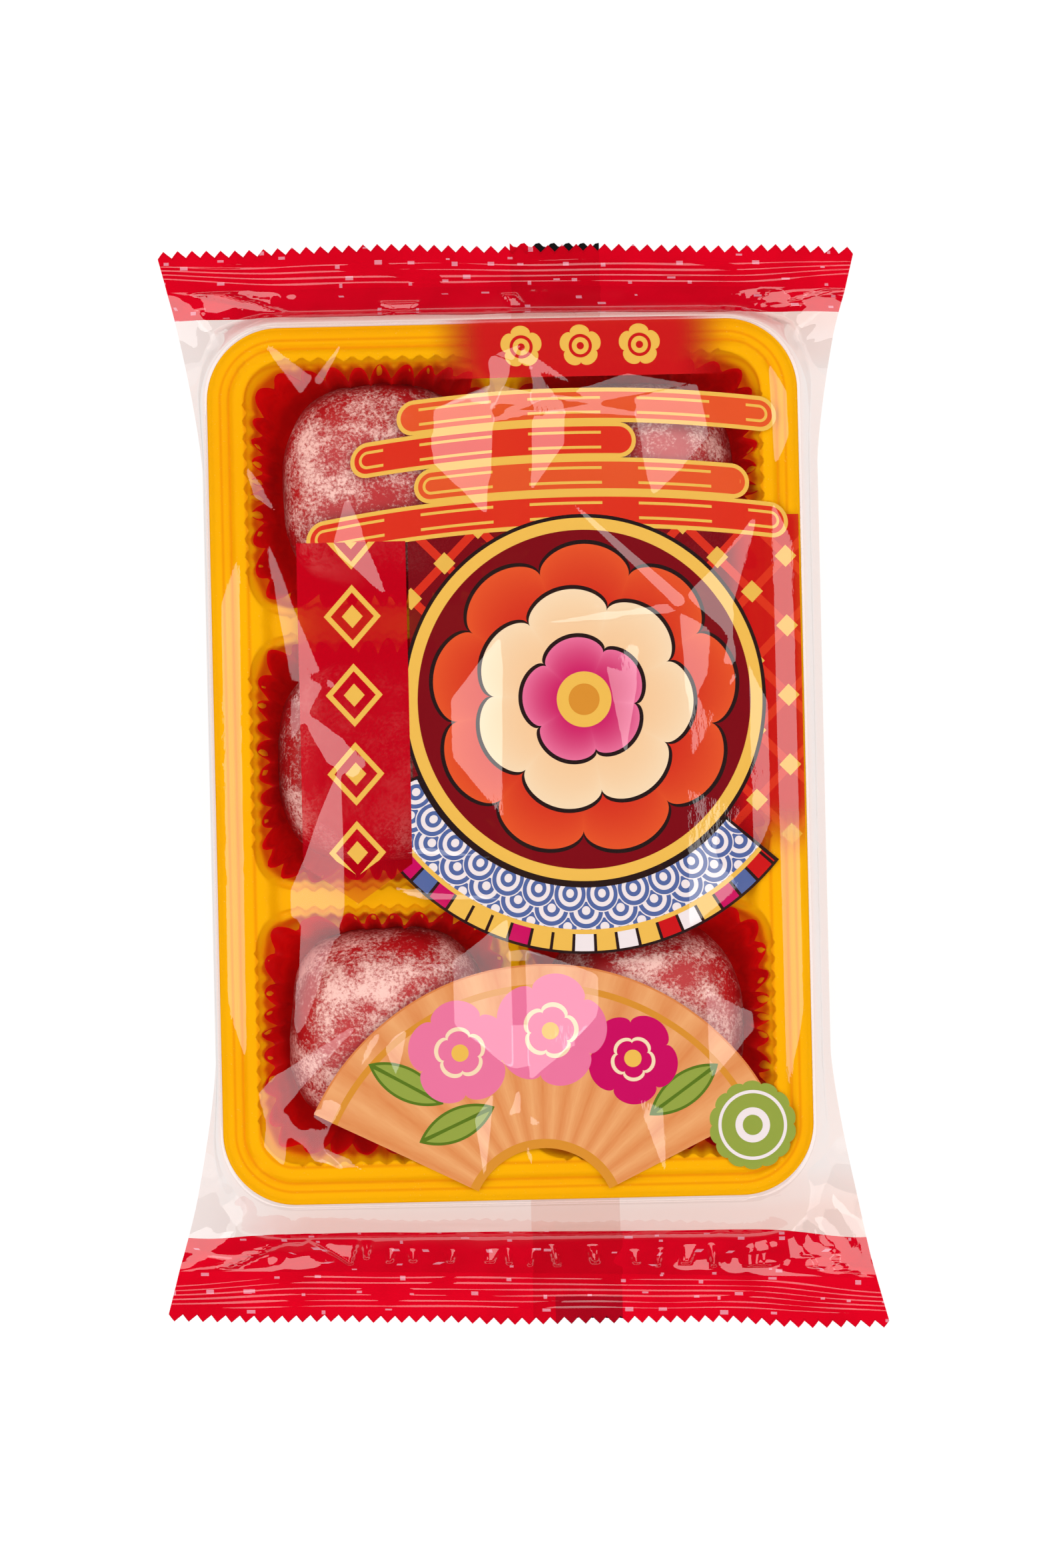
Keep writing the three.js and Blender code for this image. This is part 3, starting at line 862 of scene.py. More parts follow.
def petals(angle, count, turn, size, dent):
    """Outline of a ring of petals, as a radius that varies with angle."""
    arch = ((angle + turn) * (count / 2)).math("SINE").abs().math("SQRT")
    return arch * (size * dent) + size * (1 - dent)


def radius(x, y):
    """Distance from the origin of two links."""
    return (x * x + y * y).math("SQRT")


def print_panel(sheet):
    """Dark red panel with a diamond lattice, faded away towards its foot."""
    field = sheet.oblong(*PANEL) < 0
    fade = sheet.along.ramp(-22.0, -6.0)
    east = sheet.across.ramp(46.0, 52.0)
    ground = sheet.graph.mix(east, PANEL_DARK, PANEL_RED)
    sheet.lay(field, ground, fade * 0.9)
    one = ((sheet.across + sheet.along) / LATTICE_PITCH).math("PINGPONG", 0.5)
    two = ((sheet.across - sheet.along) / LATTICE_PITCH).math("PINGPONG", 0.5)
    sheet.tint(field * (one.math("MINIMUM", two) < 0.085), CLOUD_RED)
    sheet.tint(field * (one.math("MAXIMUM", two) < 0.16), GOLD)


def print_clouds(sheet):
    """A bank of long round-ended bars in four rows, red and orange with gold outlines."""
    arch = (sheet.along - CLOUD_FOOT + (sheet.across - CLOUD_MIDDLE) ** 2.0 * 0.0016) / CLOUD_ROW
    row = arch.math("FLOOR")
    offset = arch.math("FRACT") * CLOUD_ROW - CLOUD_ROW / 2
    shift = (row * 2.4).math("SINE") * 21.0 + 14.0
    half = (row * 1.7 + 2.0).math("SINE") * 9.0 + 41.0
    past = ((sheet.across - shift * 0.55).abs() - half + row * 3.2).math("MAXIMUM", 0.0)
    edge = radius(past, offset) - CLOUD_ROW / 2
    rows = (row > -0.5) * (row < 3.5)
    field = rows * (edge < 0.0)
    colour = sheet.graph.mix((row * 0.5).math("FRACT") * 2.0, CLOUD_RED, CLOUD_ORANGE)
    sheet.lay(field, colour, 0.94)
    curl = ((past * 0.9 + sheet.across) / 24.0).math("PINGPONG", 0.5) * 24.0
    sheet.tint(field * ((edge + 2.2).abs() < 0.3) * (curl > 4.0), GOLD)
    sheet.tint(rows * ((edge + LINE).abs() < LINE), GOLD)


def print_medallion(sheet):
    """Peony of three tiers of petals in a red disc with a gold rim."""
    reach = sheet.distance(*MEDALLION)
    angle = sheet.angle(*MEDALLION)
    sheet.lay(reach < 40.0, OUTLINE)
    sheet.tint(reach < 39.2, GOLD)
    sheet.tint(reach < 36.6, PANEL_DARK)
    for count, turn, size, dent, edge_colour, heart_colour in TIERS:
        bound = petals(angle, count, turn, size, dent)
        share = reach / bound
        sheet.tint(reach < bound + LINE, OUTLINE)
        colour = sheet.graph.mix(share ** 3.0, heart_colour, edge_colour)
        sheet.tint(reach < bound - LINE, colour)
    sheet.tint(reach < 6.0, GOLD)
    sheet.tint(reach < 3.4, GOLD_DEEP)
    return reach, angle


def print_ribbon(sheet, reach, angle):
    """A ribbon of blue and white waves round the foot of the medallion, with a hem of coloured strips."""
    swing = (angle + RIBBON_TURN).abs()
    aside = (reach - RIBBON_REACH).abs()
    sheet.lay((swing < 1.02) * (aside < RIBBON_HALF), OUTLINE)
    inside = (swing < 1.005) * (aside < RIBBON_HALF - 0.6)
    sheet.tint(inside, WAVE_BLUE)
    for level, shift in WAVE_ROWS:
        side = ((angle * 6.0 + shift).math("FRACT") - 0.5) * 7.9
        wave = radius(side, reach - level)
        band = (wave * 0.52).math("FRACT") < 0.5
        sheet.tint(inside * (wave < 4.1), sheet.graph.mix(band, WAVE_BLUE, WAVE_WHITE))
    strip = angle * HEM_STRIPS
    pick = strip.math("FLOOR")
    luck = sheet.graph.node("ShaderNodeTexWhiteNoise", {"noise_dimensions": "1D"}, {"W": pick})
    hem = sheet.graph.node("ShaderNodeValToRGB", {}, {"Fac": luck})
    ramp = hem.socket.node.color_ramp
    ramp.interpolation = "CONSTANT"
    for number, (at, colour) in enumerate(STRIP_COLOURS):
        stop = ramp.elements[number] if number < 2 else ramp.elements.new(at)
        stop.position = at
        stop.color = colour
    gap = strip.math("PINGPONG", 0.5) < 0.07
    strips = inside * (reach > HEM_REACH)
    sheet.tint(strips, hem)
    sheet.tint(strips * gap, OUTLINE)
    sheet.tint(inside * ((reach - HEM_REACH).abs() < 0.5), GOLD)


def print_fan(sheet):
    """An open wooden fan with blossoms and leaves on it."""
    reach = sheet.distance(*FAN)
    swing = (sheet.angle(*FAN) - math.pi / 2).abs()
    field = (swing < 1.12) * ((reach - FAN_REACH).abs() < FAN_HALF)
    sheet.lay(field, WOOD)
    fold = (swing * 11.0).math("PINGPONG", 1.0)
    stretch = sheet.graph.vector(reach * 0.25, swing * 60.0, 0.0)
    grain = sheet.graph.noise(stretch, 0.9, 2.0)
    sheet.tint(field * (fold * 0.7 + grain * 0.5).clamp(), WOOD_PALE)
    sheet.tint(field * ((reach - 51.0).abs() < 0.7), GOLD_DEEP)
    sheet.tint(field * ((reach - 54.6).abs() > 1.0) * (reach > 53.6), WOOD)
    sheet.tint(field * (reach < 18.0), GOLD_DEEP)
    for x, y, lean_x, lean_y in LEAVES:
        one = sheet.distance(x + lean_x, y + lean_y)
        two = sheet.distance(x - lean_x, y - lean_y)
        width = one.math("MAXIMUM", two)
        span = math.hypot(lean_x, lean_y)
        sheet.lay(width < span + 3.6, LEAF)
        sheet.tint((width < span + 3.0) * ((one - two).abs() > 0.7), LEAF_PALE)
    for x, y, size, turn, colour in BLOSSOMS:
        away = sheet.distance(x, y)
        bound = petals(sheet.angle(x, y), 5, turn, size, 0.22)
        sheet.lay(away < bound, colour)
        sheet.tint((away < bound * 0.5) * (away > bound * 0.42), PEACH_PALE)
        sheet.tint(away < 1.9, GOLD)


def print_streamer(sheet):
    """A translucent crimson streamer on the left with a chain of gold lozenges."""
    aside = (sheet.across - STREAMER_X).abs()
    foot = sheet.along - STREAMER_FOOT - aside * 0.7
    field = (aside < STREAMER_HALF) * (foot > 0.0) * (sheet.along < STREAMER_TOP)
    sheet.lay(field, CRIMSON, foot.ramp(0.0, 16.0) * 0.42 + 0.4)
    step = (sheet.along / LOZENGE_PITCH).math("PINGPONG", 0.5) * LOZENGE_PITCH
    lozenge = aside / 6.4 + step / 7.0
    gold = field * (foot > 6.0)
    sheet.tint(gold * ((lozenge - 0.86).abs() < 0.12), GOLD)
    sheet.tint(gold * (lozenge < 0.36), GOLD)
    edge = gold * (lozenge < 0.98) * ((lozenge > 0.74) + (lozenge < 0.36)).clamp()
    sheet.cover = sheet.cover.math("MAXIMUM", edge * 0.95)


def print_header(sheet):
    """A red strip that fades at its ends, with a row of gold roundels."""
    middle_x, middle_y, half_x, _ = HEADER
    field = sheet.oblong(*HEADER) < 0.0
    aside = sheet.across - middle_x
    fade = 1.0 - aside.abs().ramp(20.0, half_x)
    sheet.lay(field, PETAL_RED, fade * 0.94)
    side = (aside / ROUNDEL_PITCH + 0.5).math("FRACT") * ROUNDEL_PITCH - ROUNDEL_PITCH / 2
    rise = sheet.along - middle_y
    away = radius(side, rise)
    bound = petals(rise.math("ARCTAN2", side), 5, 0.3, 4.6, 0.25)
    row = field * (aside.abs() < ROUNDEL_REACH)
    sheet.tint(row * (away < bound), GOLD)
    sheet.tint(row * ((away - 2.2).abs() < 0.35), PETAL_RED)
    sheet.tint(row * (away < 0.8), PETAL_RED)


def print_seal(sheet):
    """A scalloped green roundel in the lower right corner."""
    away = sheet.distance(*SEAL_MARK)
    bound = petals(sheet.angle(*SEAL_MARK), 14, 0.0, 9.6, 0.08)
    sheet.lay(away < bound, LEAF_PALE)
    sheet.tint((away - 7.2).abs() < 0.35, WAVE_WHITE)
    sheet.tint((away - 3.0).abs() < 0.8, WAVE_WHITE)


def printed_film():
    """The front film, with the whole print."""
    material, graph = new_material("printed_film")
    sheet = Sheet(graph, *flat_place(graph))
    print_panel(sheet)
    print_clouds(sheet)
    reach, angle = print_medallion(sheet)
    print_ribbon(sheet, reach, angle)
    print_fan(sheet)
    print_streamer(sheet)
    print_header(sheet)
    print_seal(sheet)
    finish_material(graph, film_shader(graph, sheet.spot, sheet.cover, sheet.colour))
    return material


# The tray

FLANGE_HEIGHT = 29.5
WELL_FLOOR = 1.5
SIDE_STEPS = 72  # points along each side of a well
FLUTE_PITCH = 3.7
FLUTE_DEPTH = 0.55
# The wall of a well from its lip down, as inset from its outline and height.
WELL_PROFILE = (
    (0.0, 29.2), (0.4, 28.5), (0.8, 27.6), (1.3, 26.4), (1.9, 24.9), (2.4, 22.5), (2.7, 17.0), (3.0, 11.0),
    (3.4, 5.5), (4.0, 3.0), (5.0, 1.9), (7.0, 1.5), (12.0, 1.5), (18.0, 1.5), (23.0, 1.5),
)
# The tray's outer wall from its rim down, the same way.
SKIRT_PROFILE = (
    (0.0, 28.7), (0.12, 27.6), (0.9, 25.6), (2.0, 18.0), (3.1, 10.0), (4.1, 3.0), (4.4, 1.4), (4.6, 1.0),
)
SKIRT_FLUTE_PITCH = 8.05
SKIRT_FLUTE_DEPTH = 0.4
# Shares of the way at which rings lie: from a cell's border to its well, and from the rim to the cells.
CELL_SHARES = (0.0, 0.35, 0.65, 0.86, 0.96)
FLANGE_SHARES = (0.05, 0.14, 0.25, 0.42, 0.58, 0.66, 0.72, 0.78, 0.85, 0.93, 1.0)
SHARP = 1e-6  # radius of a corner that is left square


def ring(half_x, half_y, corner, border_x, border_y, steps_x, steps_y):
    """A rounded oblong, point by point anticlockwise, with its outward normals and place along each side.
    border_x and border_y are the half sizes of the oblong whose even steps it matches."""
    points, normals, places = [], [], []
    sides = ((1, 0, half_x, half_y, border_x, steps_x), (0, 1, half_y, half_x, border_y, steps_y))
    for turn, (tx, ty, run, rise, border, steps) in enumerate(sides * 2):
        sign = 1 if turn < 2 else -1
        a = np.linspace(-border, border, steps, endpoint=False)
        straight = run - corner
        angle = np.maximum(np.abs(a) - straight, 0) / (border - straight) * math.pi / 4
        along = np.clip(a, -straight, straight) + np.sign(a) * corner * np.sin(angle)
        outward = rise - corner + corner * np.cos(angle)
        tangent = np.array([tx, ty]) * sign
        normal = np.array([ty, -tx]) * sign
        points.append(along[:, None] * tangent + outward[:, None] * normal)
        lean = np.sign(a) * np.sin(angle)
        normals.append(lean[:, None] * tangent + np.cos(angle)[:, None] * normal)
        places.append(np.where(angle > 0, np.nan, a))
    return np.concatenate(points), np.concatenate(normals), np.concatenate(places)


def fluted(points, normals, places, pitch, depth):
    """Pushes a ring in and out in flutes along its straight sides."""
    wave = np.cos(2 * math.pi * np.nan_to_num(places) / pitch)
    push = np.where(np.isnan(places), 0.0, wave) * depth
    return points + normals * push[:, None]


def tray_top(x, y):
    """Height of the tray's flange and dividers, with its bead lines."""
    inset = -beyond_tray(x, y, 0)
    height = FLANGE_HEIGHT - 0.9 * (1 - smooth(inset / 1.6))
    height = height - 0.8 * np.exp(-(((inset - 4.6) / 0.55) ** 2)) + 0.4 * smooth((inset - 5.2) / 0.9)
    return height - 2.7 * smooth((inset - 10.8) / 3.0)


def tray_cell(column, row):
    """Rings of points from the border of a well's cell in to the middle of its floor."""
    centre = np.array(well_centre(column, row))
    sizes = (CELL_HALF_X, CELL_HALF_Y, SIDE_STEPS, SIDE_STEPS)
    border = ring(CELL_HALF_X, CELL_HALF_Y, SHARP, *sizes)[0] + centre
    lip = fluted(*ring(WELL_HALF_X, WELL_HALF_Y, WELL_CORNER, *sizes), FLUTE_PITCH, FLUTE_DEPTH) + centre
    rings = []
    for share in CELL_SHARES:
        flat = lerp(border, lip, share)
        sink = 0.25 * share ** 6
        rings.append(np.column_stack([flat, tray_top(flat[:, 0], flat[:, 1]) - sink]))
    rim = rings[-1][:, 2]
    for inset, height in WELL_PROFILE:
        corner = max(WELL_CORNER - inset * 0.4, 0.4)
        depth = FLUTE_DEPTH * (1 - smooth((inset - 2.8) / 1.5))
        outline = ring(WELL_HALF_X - inset, WELL_HALF_Y - inset, corner, *sizes)
        flat = fluted(*outline, FLUTE_PITCH, depth) + centre
        level = np.minimum(rim - 0.25 - inset, height) if inset < 1.0 else np.full(len(flat), height)
        rings.append(np.column_stack([flat, level]))
    rings.append(np.column_stack([np.tile(centre, (len(rim), 1)), np.full(len(rim), WELL_FLOOR)]))
    return np.stack(rings)


def tray_frame():
    """Rings of points from the foot of the tray's outer wall up, over the rim and in to the wells."""
    wide, long = 2 * CELL_HALF_X, 3 * CELL_HALF_Y
    sizes = (wide, long, 2 * SIDE_STEPS, 3 * SIDE_STEPS)
    centre = np.array([TRAY_X, TRAY_Y])
    rings = []
    for inset, height in reversed(SKIRT_PROFILE):
        outline = ring(TRAY_HALF_X - inset, TRAY_HALF_Y - inset, TRAY_CORNER - inset / 2, *sizes)
        depth = SKIRT_FLUTE_DEPTH * smooth((inset - 0.6) / 1.2)
        flat = fluted(*outline, SKIRT_FLUTE_PITCH, depth) + centre
        rings.append(np.column_stack([flat, np.full(len(flat), height)]))
    outer = ring(TRAY_HALF_X, TRAY_HALF_Y, TRAY_CORNER, *sizes)[0] + centre
    inner = ring(wide, long, SHARP, *sizes)[0] + np.array([TRAY_X, CELLS_Y])
    for share in FLANGE_SHARES:
        flat = lerp(outer, inner, share)
        rings.append(np.column_stack([flat, tray_top(flat[:, 0], flat[:, 1])]))
    return np.stack(rings)


# Painted shade along the flange's bead grooves, laid as darker lines.
TRAY_SHADE_LINES = ((2.9, 0.5), (4.7, 0.55), (8.3, 0.6))  # how far in the flange's darker lines lie, and how wide


def tray_material():
    """Yellow moulded plastic with a faint pearl grain, with painted shade along its bead lines and painted
    light that turns it a warmer orange deeper in its wells.
    """
    material, graph = new_material("yellow_tray_plastic")
    place_here = object_place(graph)
    broad = graph.noise(place_here, 35.0, 2.0).ramp(0.35, 0.7)
    across, along, high = place_here.parts()
    corner = TRAY_CORNER * MM
    past_x = (across - TRAY_X * MM).abs() - (TRAY_HALF_X * MM - corner)
    past_y = (along - TRAY_Y * MM).abs() - (TRAY_HALF_Y * MM - corner)
    round_off = (past_x.math("MAXIMUM", 0.0) ** 2 + past_y.math("MAXIMUM", 0.0) ** 2) ** 0.5
    inset = (corner - round_off - past_x.math("MAXIMUM", past_y).math("MINIMUM", 0.0)) * (1 / MM)
    # Painted shade: darker orange lines along the flange's bead grooves, on the flange only.
    lines = None
    for middle, width in TRAY_SHADE_LINES:
        line = 1 - ((inset - middle).abs() * (1 / width)).clamp()
        lines = line if lines is None else lines.math("MAXIMUM", line)
    colour = graph.mix(broad * 0.5, srgb(238, 181, 0), srgb(236, 172, 0))
    colour = graph.mix(lines * high.ramp(0.024, 0.027) * 0.75, colour, srgb(224, 140, 0))
    # Painted light: deeper in the wells the colour turns a warmer orange and more light passes through, for
    # the glow of light through their walls.
    well_glow = 1 - high.ramp(0.021, 0.0285)
    colour = graph.mix(well_glow, colour, srgb(250, 168, 20))
    speck = graph.noise(place_here, 2600.0, 1.0).ramp(0.70, 0.78)
    colour = graph.mix(speck * 0.35, colour, srgb(250, 205, 110))
    bump = graph.bump(graph.noise(place_here, 900.0, 2.0), 0.00003)
    values = {"Base Color": colour, "Roughness": 0.42, "Normal": bump, "Specular IOR Level": 0.03}
    finish_lit_through(graph, well_glow * 0.35 + 0.25, values)
    return material


def tray(material):
    """The whole tray as one shell: its outer wall, flange and wells."""
    points, faces, count = [], [], 0
    blocks = [tray_frame()] + [tray_cell(column, row) for column, row in product(COLUMNS, ROWS)]
    for block in blocks:
        faces.append(grid_faces(*block.shape[:2], wrap=True) + count)
        points.append(block.reshape(-1, 3))
        count += len(points[-1])
    piece = mesh_piece("tray", np.concatenate(points), np.concatenate(faces), material)
    join_doubles(piece, 0.01)
    place(piece, "tray")


def join_doubles(piece, distance):
    """Joins points that lie within a distance of each other, and drops the faces that this leaves empty."""
    work = bmesh.new()
    work.from_mesh(piece.data)
    bmesh.ops.remove_doubles(work, verts=work.verts, dist=distance * MM)
    bmesh.ops.dissolve_degenerate(work, edges=work.edges, dist=1e-7)
    work.to_mesh(piece.data)
    work.free()


# The pleated cups

CUP_SOCKETS = {
    "Pleats": ("NodeSocketInt", 34),
    "Points a Pleat": ("NodeSocketInt", 8),
    "Rings": ("NodeSocketInt", 22),
    "Foot": ("NodeSocketFloat", 18.6 * MM),
    "Rim": ("NodeSocketFloat", 24.9 * MM),
    "Height": ("NodeSocketFloat", 25.6 * MM),
    "Fold": ("NodeSocketFloat", 1.7 * MM),
    "Foot Squareness": ("NodeSocketFloat", 2.5),
    "Rim Squareness": ("NodeSocketFloat", 7.5),
    "Uneven": ("NodeSocketFloat", 0.8 * MM),
    "Centre": ("NodeSocketVector", (0.0, 0.0, 0.0)),
    "Seed": ("NodeSocketFloat", 0.0),
    "Material": ("NodeSocketMaterial", None),
}
CUP_FLOOR = 0.3  # share of a cup's rings that lie in its floor
PLEATS = (36, 36, 31, 34, 36, 33)
CUP_LIFT = 0.6  # above the well's floor
CUP_THROUGH = 0.42  # the share of light that the paper lets through


def cup_tree():
    """A cup from a grid that is wrapped round: one direction runs about it, the other up it."""
    tree = bpy.data.node_groups.new("pleated_cup", "GeometryNodeTree")
    for name, (kind, value) in CUP_SOCKETS.items():
        socket = tree.interface.new_socket(name, in_out="INPUT", socket_type=kind)
        if value is not None:
            socket.default_value = value
    tree.interface.new_socket("Geometry", in_out="OUTPUT", socket_type="NodeSocketGeometry")
    graph = Graph(tree)
    given = graph.node("NodeGroupInput", {}, {}).socket.node
    setting = {name: Link(graph, given.outputs[name]) for name in CUP_SOCKETS}
    counts = {"Vertices X": setting["Pleats"] * setting["Points a Pleat"] + 1.0}
    counts.update({"Vertices Y": setting["Rings"], "Size X": 1.0, "Size Y": 1.0})
    grid = graph.node("GeometryNodeMeshGrid", {}, counts)
    about, up, _ = graph.node("GeometryNodeInputPosition", {}, {}).parts()
    angle = (about + 0.5) * (2 * math.pi)
    climb = ((up + 0.5 - CUP_FLOOR) / (1 - CUP_FLOOR)).clamp()
    spread = ((up + 0.5) / CUP_FLOOR).clamp()
    round_x, round_y = angle.math("COSINE"), angle.math("SINE")
    spot = graph.vector(round_x, round_y, setting["Seed"])
    drift = graph.noise(spot, 1.1, 1.0) - 0.5
    ragged = graph.noise(spot, 7.0, 1.0) - 0.5
    slope = climb.math("POWER", 0.6)
    power = setting["Foot Squareness"] + (setting["Rim Squareness"] - setting["Foot Squareness"]) * climb
    spread_out = round_x.abs().math("POWER", power) + round_y.abs().math("POWER", power)
    square = spread_out.math("POWER", -1.0 / power)
    turn = angle + drift * 0.5
    wave = (turn * setting["Pleats"] * 0.5).math("SINE").abs() ** 0.8 * 2.0 - 1.0
    depth = setting["Fold"] * (climb ** 1.3) * (1.0 + ragged * 1.3)
    radius = spread * setting["Foot"] + slope * (setting["Rim"] - setting["Foot"])
    radius = radius * square + wave * depth + drift * climb * setting["Uneven"] * 2.0
    lift = climb * (setting["Height"] + ragged * setting["Uneven"] * 1.5 + drift * setting["Uneven"] * 2.0)
    shape = graph.vector(radius * round_x, radius * round_y, lift)
    moved = graph.node("ShaderNodeVectorMath", {"operation": "ADD"}, {0: shape, 1: setting["Centre"]})
    shaped = graph.node("GeometryNodeSetPosition", {}, {"Geometry": grid, "Position": moved})
    joined = graph.node("GeometryNodeMergeByDistance", {}, {"Geometry": shaped, "Distance": 1e-5})
    soft = graph.node("GeometryNodeSetShadeSmooth", {}, {"Geometry": joined})
    real = graph.node("GeometryNodeRealizeInstances", {}, {"Geometry": soft})
    values = {"Geometry": real, "Material": setting["Material"]}
    graph.node("NodeGroupOutput", {}, {"Geometry": graph.node("GeometryNodeSetMaterial", {}, values)})
    return tree


def grown(name, tree, values):
    """Runs a node tree on an empty mesh with the given inputs and keeps what it makes as a plain mesh."""
    piece = bpy.data.objects.new(name, bpy.data.meshes.new(name))
    bpy.context.scene.collection.objects.link(piece)
    modifier = piece.modifiers.new("grow", "NODES")
    modifier.node_group = tree
    for item in tree.interface.items_tree:
        if item.in_out == "INPUT" and item.name in values:
            modifier[item.identifier] = values[item.name]
    graph = bpy.context.evaluated_depsgraph_get()
    made = bpy.data.meshes.new_from_object(piece.evaluated_get(graph), depsgraph=graph)
    piece.modifiers.remove(modifier)
    piece.data = made
    return piece


def cup_material():
    """Deep red glazed paper, its red a little darker in places at random."""
    material, graph = new_material("red_cup_paper")
    place_here = object_place(graph)
    shade = graph.noise(place_here, 160.0, 3.0).ramp(0.3, 0.7)
    colour = graph.mix(shade, srgb(236, 6, 12), srgb(214, 0, 8))
    bump = graph.bump(graph.noise(place_here, 420.0, 2.0), 0.00006)
    values = {"Base Color": colour, "Roughness": 0.34, "Normal": bump, "Specular IOR Level": 0.25}
    finish_lit_through(graph, CUP_THROUGH, values)
    return material


def cups(material):
    tree = cup_tree()
    for number, (column, row) in enumerate(product(COLUMNS, ROWS)):
        x, y = well_centre(column, row)
        values = {"Centre": (x * MM, y * MM, (WELL_FLOOR + CUP_LIFT) * MM), "Seed": 3.7 * number + 1.0}
        values.update({"Pleats": PLEATS[number], "Material": material})
        place(grown(f"cup_{number + 1}", tree, values), "cup")


# The rice balls

BALL_HEIGHT = 27.2
BALL_FOOT = 2.4
BALL_SQUARE = 2.7  # power of the squarish outline that a ball takes in its cup
FOOT_FROM = -0.72  # share of a ball's radius below which it is pressed flat
FOOT_SHARE = 0.18
# Half widths across and along for each ball, and how far it has slipped from its well's middle.
BALLS = (
    (22.0, 22.8, 1.4, 0.7), (23.0, 22.9, 0.2, 0.3), (22.4, 23.0, 1.0, 0.2),
    (22.6, 22.7, -0.5, 0.2), (22.8, 22.5, 0.2, -0.5), (22.3, 22.9, -0.6, 0.4),
)


def sphere():
    """Points and triangles of a sphere of radius 1."""
    work = bmesh.new()
    bmesh.ops.create_icosphere(work, subdivisions=6, radius=1.0)
    mesh = bpy.data.meshes.new("round")
    work.to_mesh(mesh)
    work.free()
    points = np.empty(len(mesh.vertices) * 3)
    mesh.vertices.foreach_get("co", points)
    faces = np.empty(len(mesh.polygons) * 3, dtype=np.int32)
    mesh.loops.foreach_get("vertex_index", faces)
    bpy.data.meshes.remove(mesh)
    return points.reshape(-1, 3), faces.reshape(-1, 3)


def ball(number, column, row, material):
    """One soft ball: a sphere that has sagged on its foot, with shallow dents."""
    half_x, half_y, slip_x, slip_y = BALLS[number]
    points, faces = sphere()
    x, y, z = points.T
    dents = waves(x + 0.7 * z, y - 0.6 * z, 1.5, 1.3, 100 + number)
    fine = waves(x - 0.4 * z, y + 0.8 * z, 0.34, 0.3, 120 + number)
    swell = 1 + 0.02 * dents + 0.005 * fine
    around = np.arctan2(y, x)
    spread = np.abs(np.cos(around)) ** BALL_SQUARE + np.abs(np.sin(around)) ** BALL_SQUARE
    square = spread ** (-1 / BALL_SQUARE)
    swell = swell * (1 + (square - 1) * smooth((z + 0.5) / 0.5))
    sag = (1 - 0.05 * z) * np.maximum(np.hypot(x, y), 1e-6) ** -0.28
    high = np.sign(z) * np.abs(z) ** 0.8
    high = np.where(high < FOOT_FROM, FOOT_FROM + (high - FOOT_FROM) * FOOT_SHARE, high)
    low = high.min()
    up = (high - low) / (1 - low) * BALL_HEIGHT
    centre_x, centre_y = well_centre(column, row)
    shaped = [x * half_x * swell * sag + centre_x + slip_x, y * half_y * swell * sag + centre_y + slip_y]
    shaped.append(up + BALL_FOOT + 0.35 * dents * smooth(z))
    piece = mesh_piece(f"rice_ball_{number + 1}", np.stack(shaped, axis=-1), faces, material)
    place(piece, "rice_ball")


def ball_material():
    """Dark red glutinous dough with starch that lies on it in ragged, cloudy patches."""
    material, graph = new_material("starched_rice_dough")
    place_here = object_place(graph)
    clouds = graph.noise(place_here, 78.0, 4.0, 0.55, 0.3)
    clumps = graph.noise(place_here, 430.0, 4.0, 0.7)
    grain = graph.noise(place_here, 1500.0, 3.0, 0.7)
    powder = (clouds - 0.5) * 4.6 + (clumps - 0.5) * 1.5 + (grain - 0.5) * 3.4 + 0.42
    cover = powder.ramp(-0.05, 1.3) * 0.9
    dough = graph.mix(graph.noise(place_here, 90.0, 2.0), srgb(144, 5, 14), srgb(174, 11, 21))
    colour = graph.mix(cover, dough, srgb(230, 196, 188))
    height = cover + graph.noise(place_here, 700.0, 3.0) * 0.6
    values = {"Base Color": colour, "Roughness": cover * 0.45 + 0.4, "Normal": graph.bump(height, 0.00012)}
    finish_material(graph, surface(graph, values))
    return material


# Camera, light and floor

PHOTO_LEAN = math.radians(1.28)
CAMERA_HEIGHT = 0.987
CAMERA_ASIDE = 0.0012
LENS_LENGTH = 100.0
SENSOR_WIDTH = 36.0
# Each light's name, its middle and its size across and along in metres, and its radiance. The two large
# boxes stand beside the pack, and the strips and small fills beyond its ends.
LIGHTS = (
    ("left_box", (-0.826, 0.0, 1.18), 1.47, 3.6, 2.4),
    ("right_box", (0.826, 0.0, 1.18), 1.47, 3.6, 2.3),
    ("front_strip", (0.0, -0.74, 1.26), 0.5, 0.4, 2.1),
    ("back_strip", (0.0, 0.74, 1.26), 0.5, 0.4, 2.1),
    ("front_fill", (0.0, -1.784, 1.03), 0.44, 0.47, 2.3),
    ("back_fill", (0.0, 1.784, 1.03), 0.44, 0.47, 2.3),
)
FLOOR_HALF = 3000.0
FLOOR_DROP = 0.3  # below the pack, so that no face of it lies in the floor


def camera():
    lens = bpy.data.cameras.new("camera")
    lens.lens = LENS_LENGTH
    lens.sensor_width = SENSOR_WIDTH
    eye = bpy.data.objects.new("camera", lens)
    eye.location = (CAMERA_ASIDE, 0.0, CAMERA_HEIGHT)
    eye.rotation_euler = (0.0, 0.0, -PHOTO_LEAN)
    bpy.context.scene.collection.objects.link(eye)
    bpy.context.scene.camera = eye


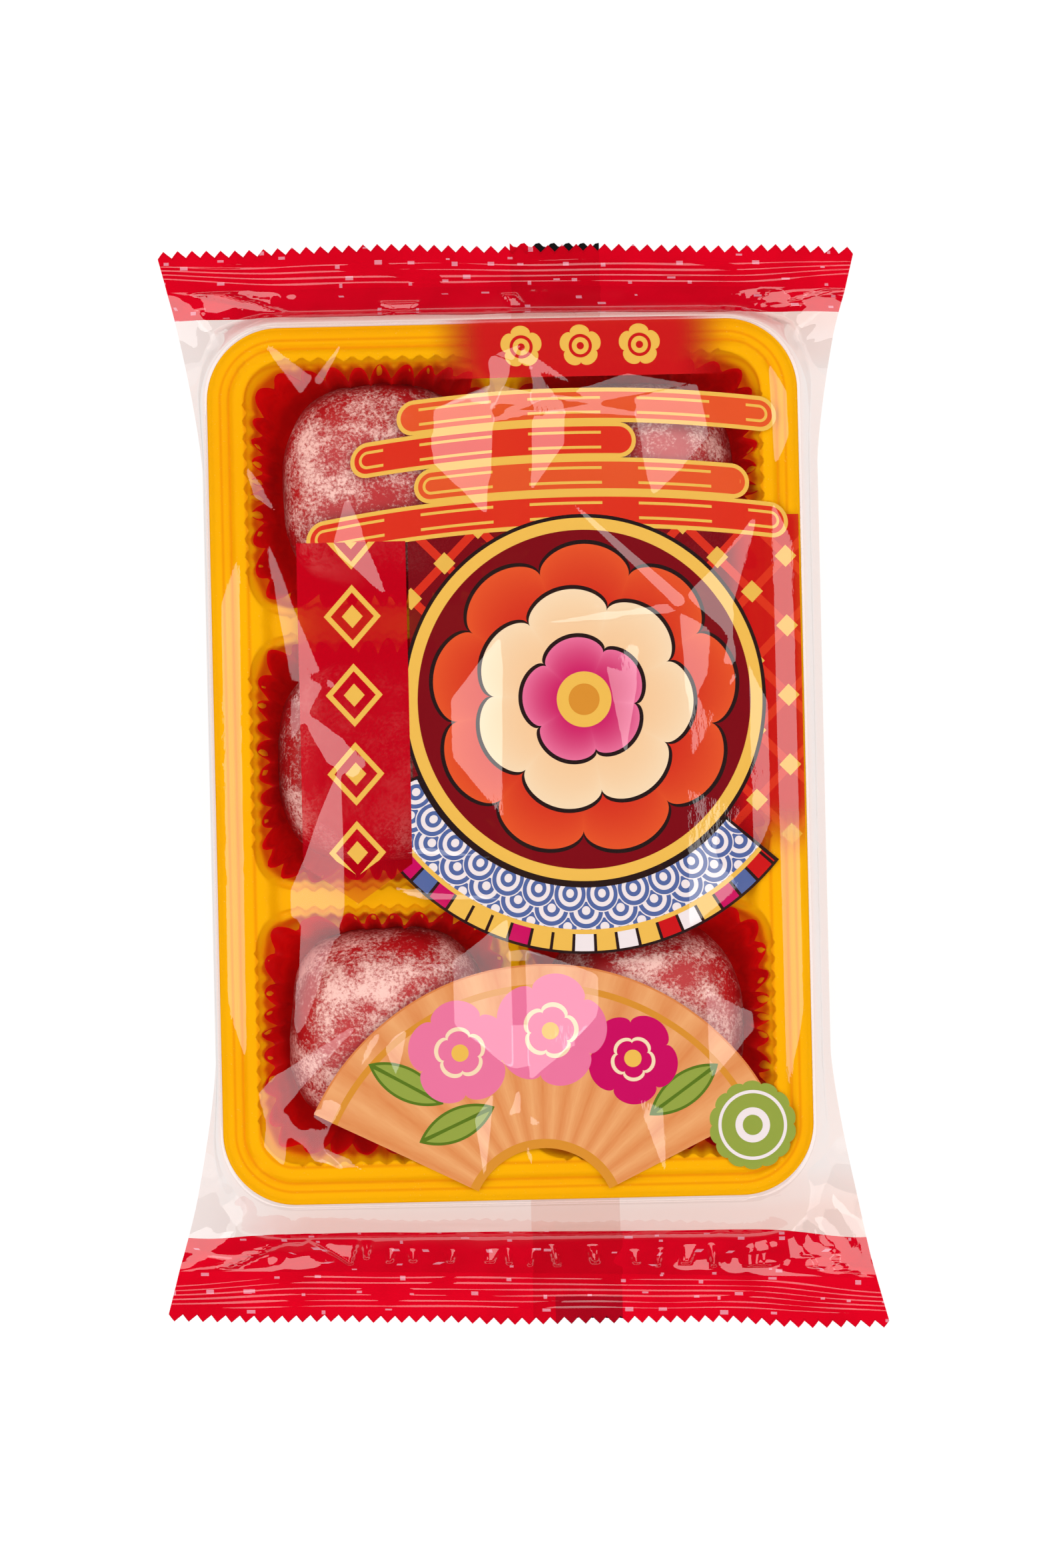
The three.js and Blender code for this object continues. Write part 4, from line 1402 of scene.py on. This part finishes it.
def softbox(name, centre, size_x, size_y, radiance):
    """A rectangular light of even brightness that faces the pack."""
    lamp = bpy.data.lights.new(name, "AREA")
    lamp.shape = "RECTANGLE"
    lamp.size = size_x
    lamp.size_y = size_y
    lamp.energy = radiance * math.pi * size_x * size_y
    light = bpy.data.objects.new(name, lamp)
    light.location = centre
    x, y, z = Vector(centre).normalized()
    light.rotation_euler = (-math.asin(y), math.atan2(x, z), 0.0)
    bpy.context.scene.collection.objects.link(light)


def studio():
    for light in LIGHTS:
        softbox(*light)
    world = bpy.data.worlds.new("studio")
    bpy.context.scene.world = world
    world.use_nodes = True
    graph = Graph(world.node_tree)
    _, _, up = graph.node("ShaderNodeTexCoord", {}, {}, "Generated").parts()
    strength = 0.1 - up.ramp(0.0, 0.2) * 0.08
    shade = graph.node("ShaderNodeBackground", {}, {"Color": (1.0, 1.0, 1.0, 1.0), "Strength": strength})
    graph.node("ShaderNodeOutputWorld", {}, {"Surface": shade})
    bpy.context.scene.view_settings.view_transform = "Standard"


def floor():
    material, graph = new_material("pale_floor")
    values = {"Base Color": (0.18, 0.18, 0.18, 1.0), "Roughness": 0.9, "Specular IOR Level": 0.1}
    values.update({"Emission Color": (1.0, 1.0, 1.0, 1.0), "Emission Strength": 0.82})
    finish_material(graph, surface(graph, values))
    signs = ((-1, -1), (1, -1), (1, 1), (-1, 1))
    corners = [(x * FLOOR_HALF, y * FLOOR_HALF, -FLOOR_DROP) for x, y in signs]
    mesh_piece("floor", corners, [(0, 1, 2, 3)], material)


camera()
studio()
floor()
clear_film = plain_film("banded_film", BACK_BAND, False)
film_sheet("film_front", 400, 18, 213, -0.3, front_height, printed_film(), False)
film_sheet("film_back", 220, 12, 110, WALL_DRAFT, back_height, clear_film, True)
end_seal("end_seal_top", 1, clear_film)
end_seal("end_seal_bottom", -1, clear_film)
back_fin(plain_film("marked_film", FIN_BAND, True))
tray(tray_material())
cups(cup_material())
starched = ball_material()
for number, (column, row) in enumerate(product(COLUMNS, ROWS)):
    ball(number, column, row, starched)
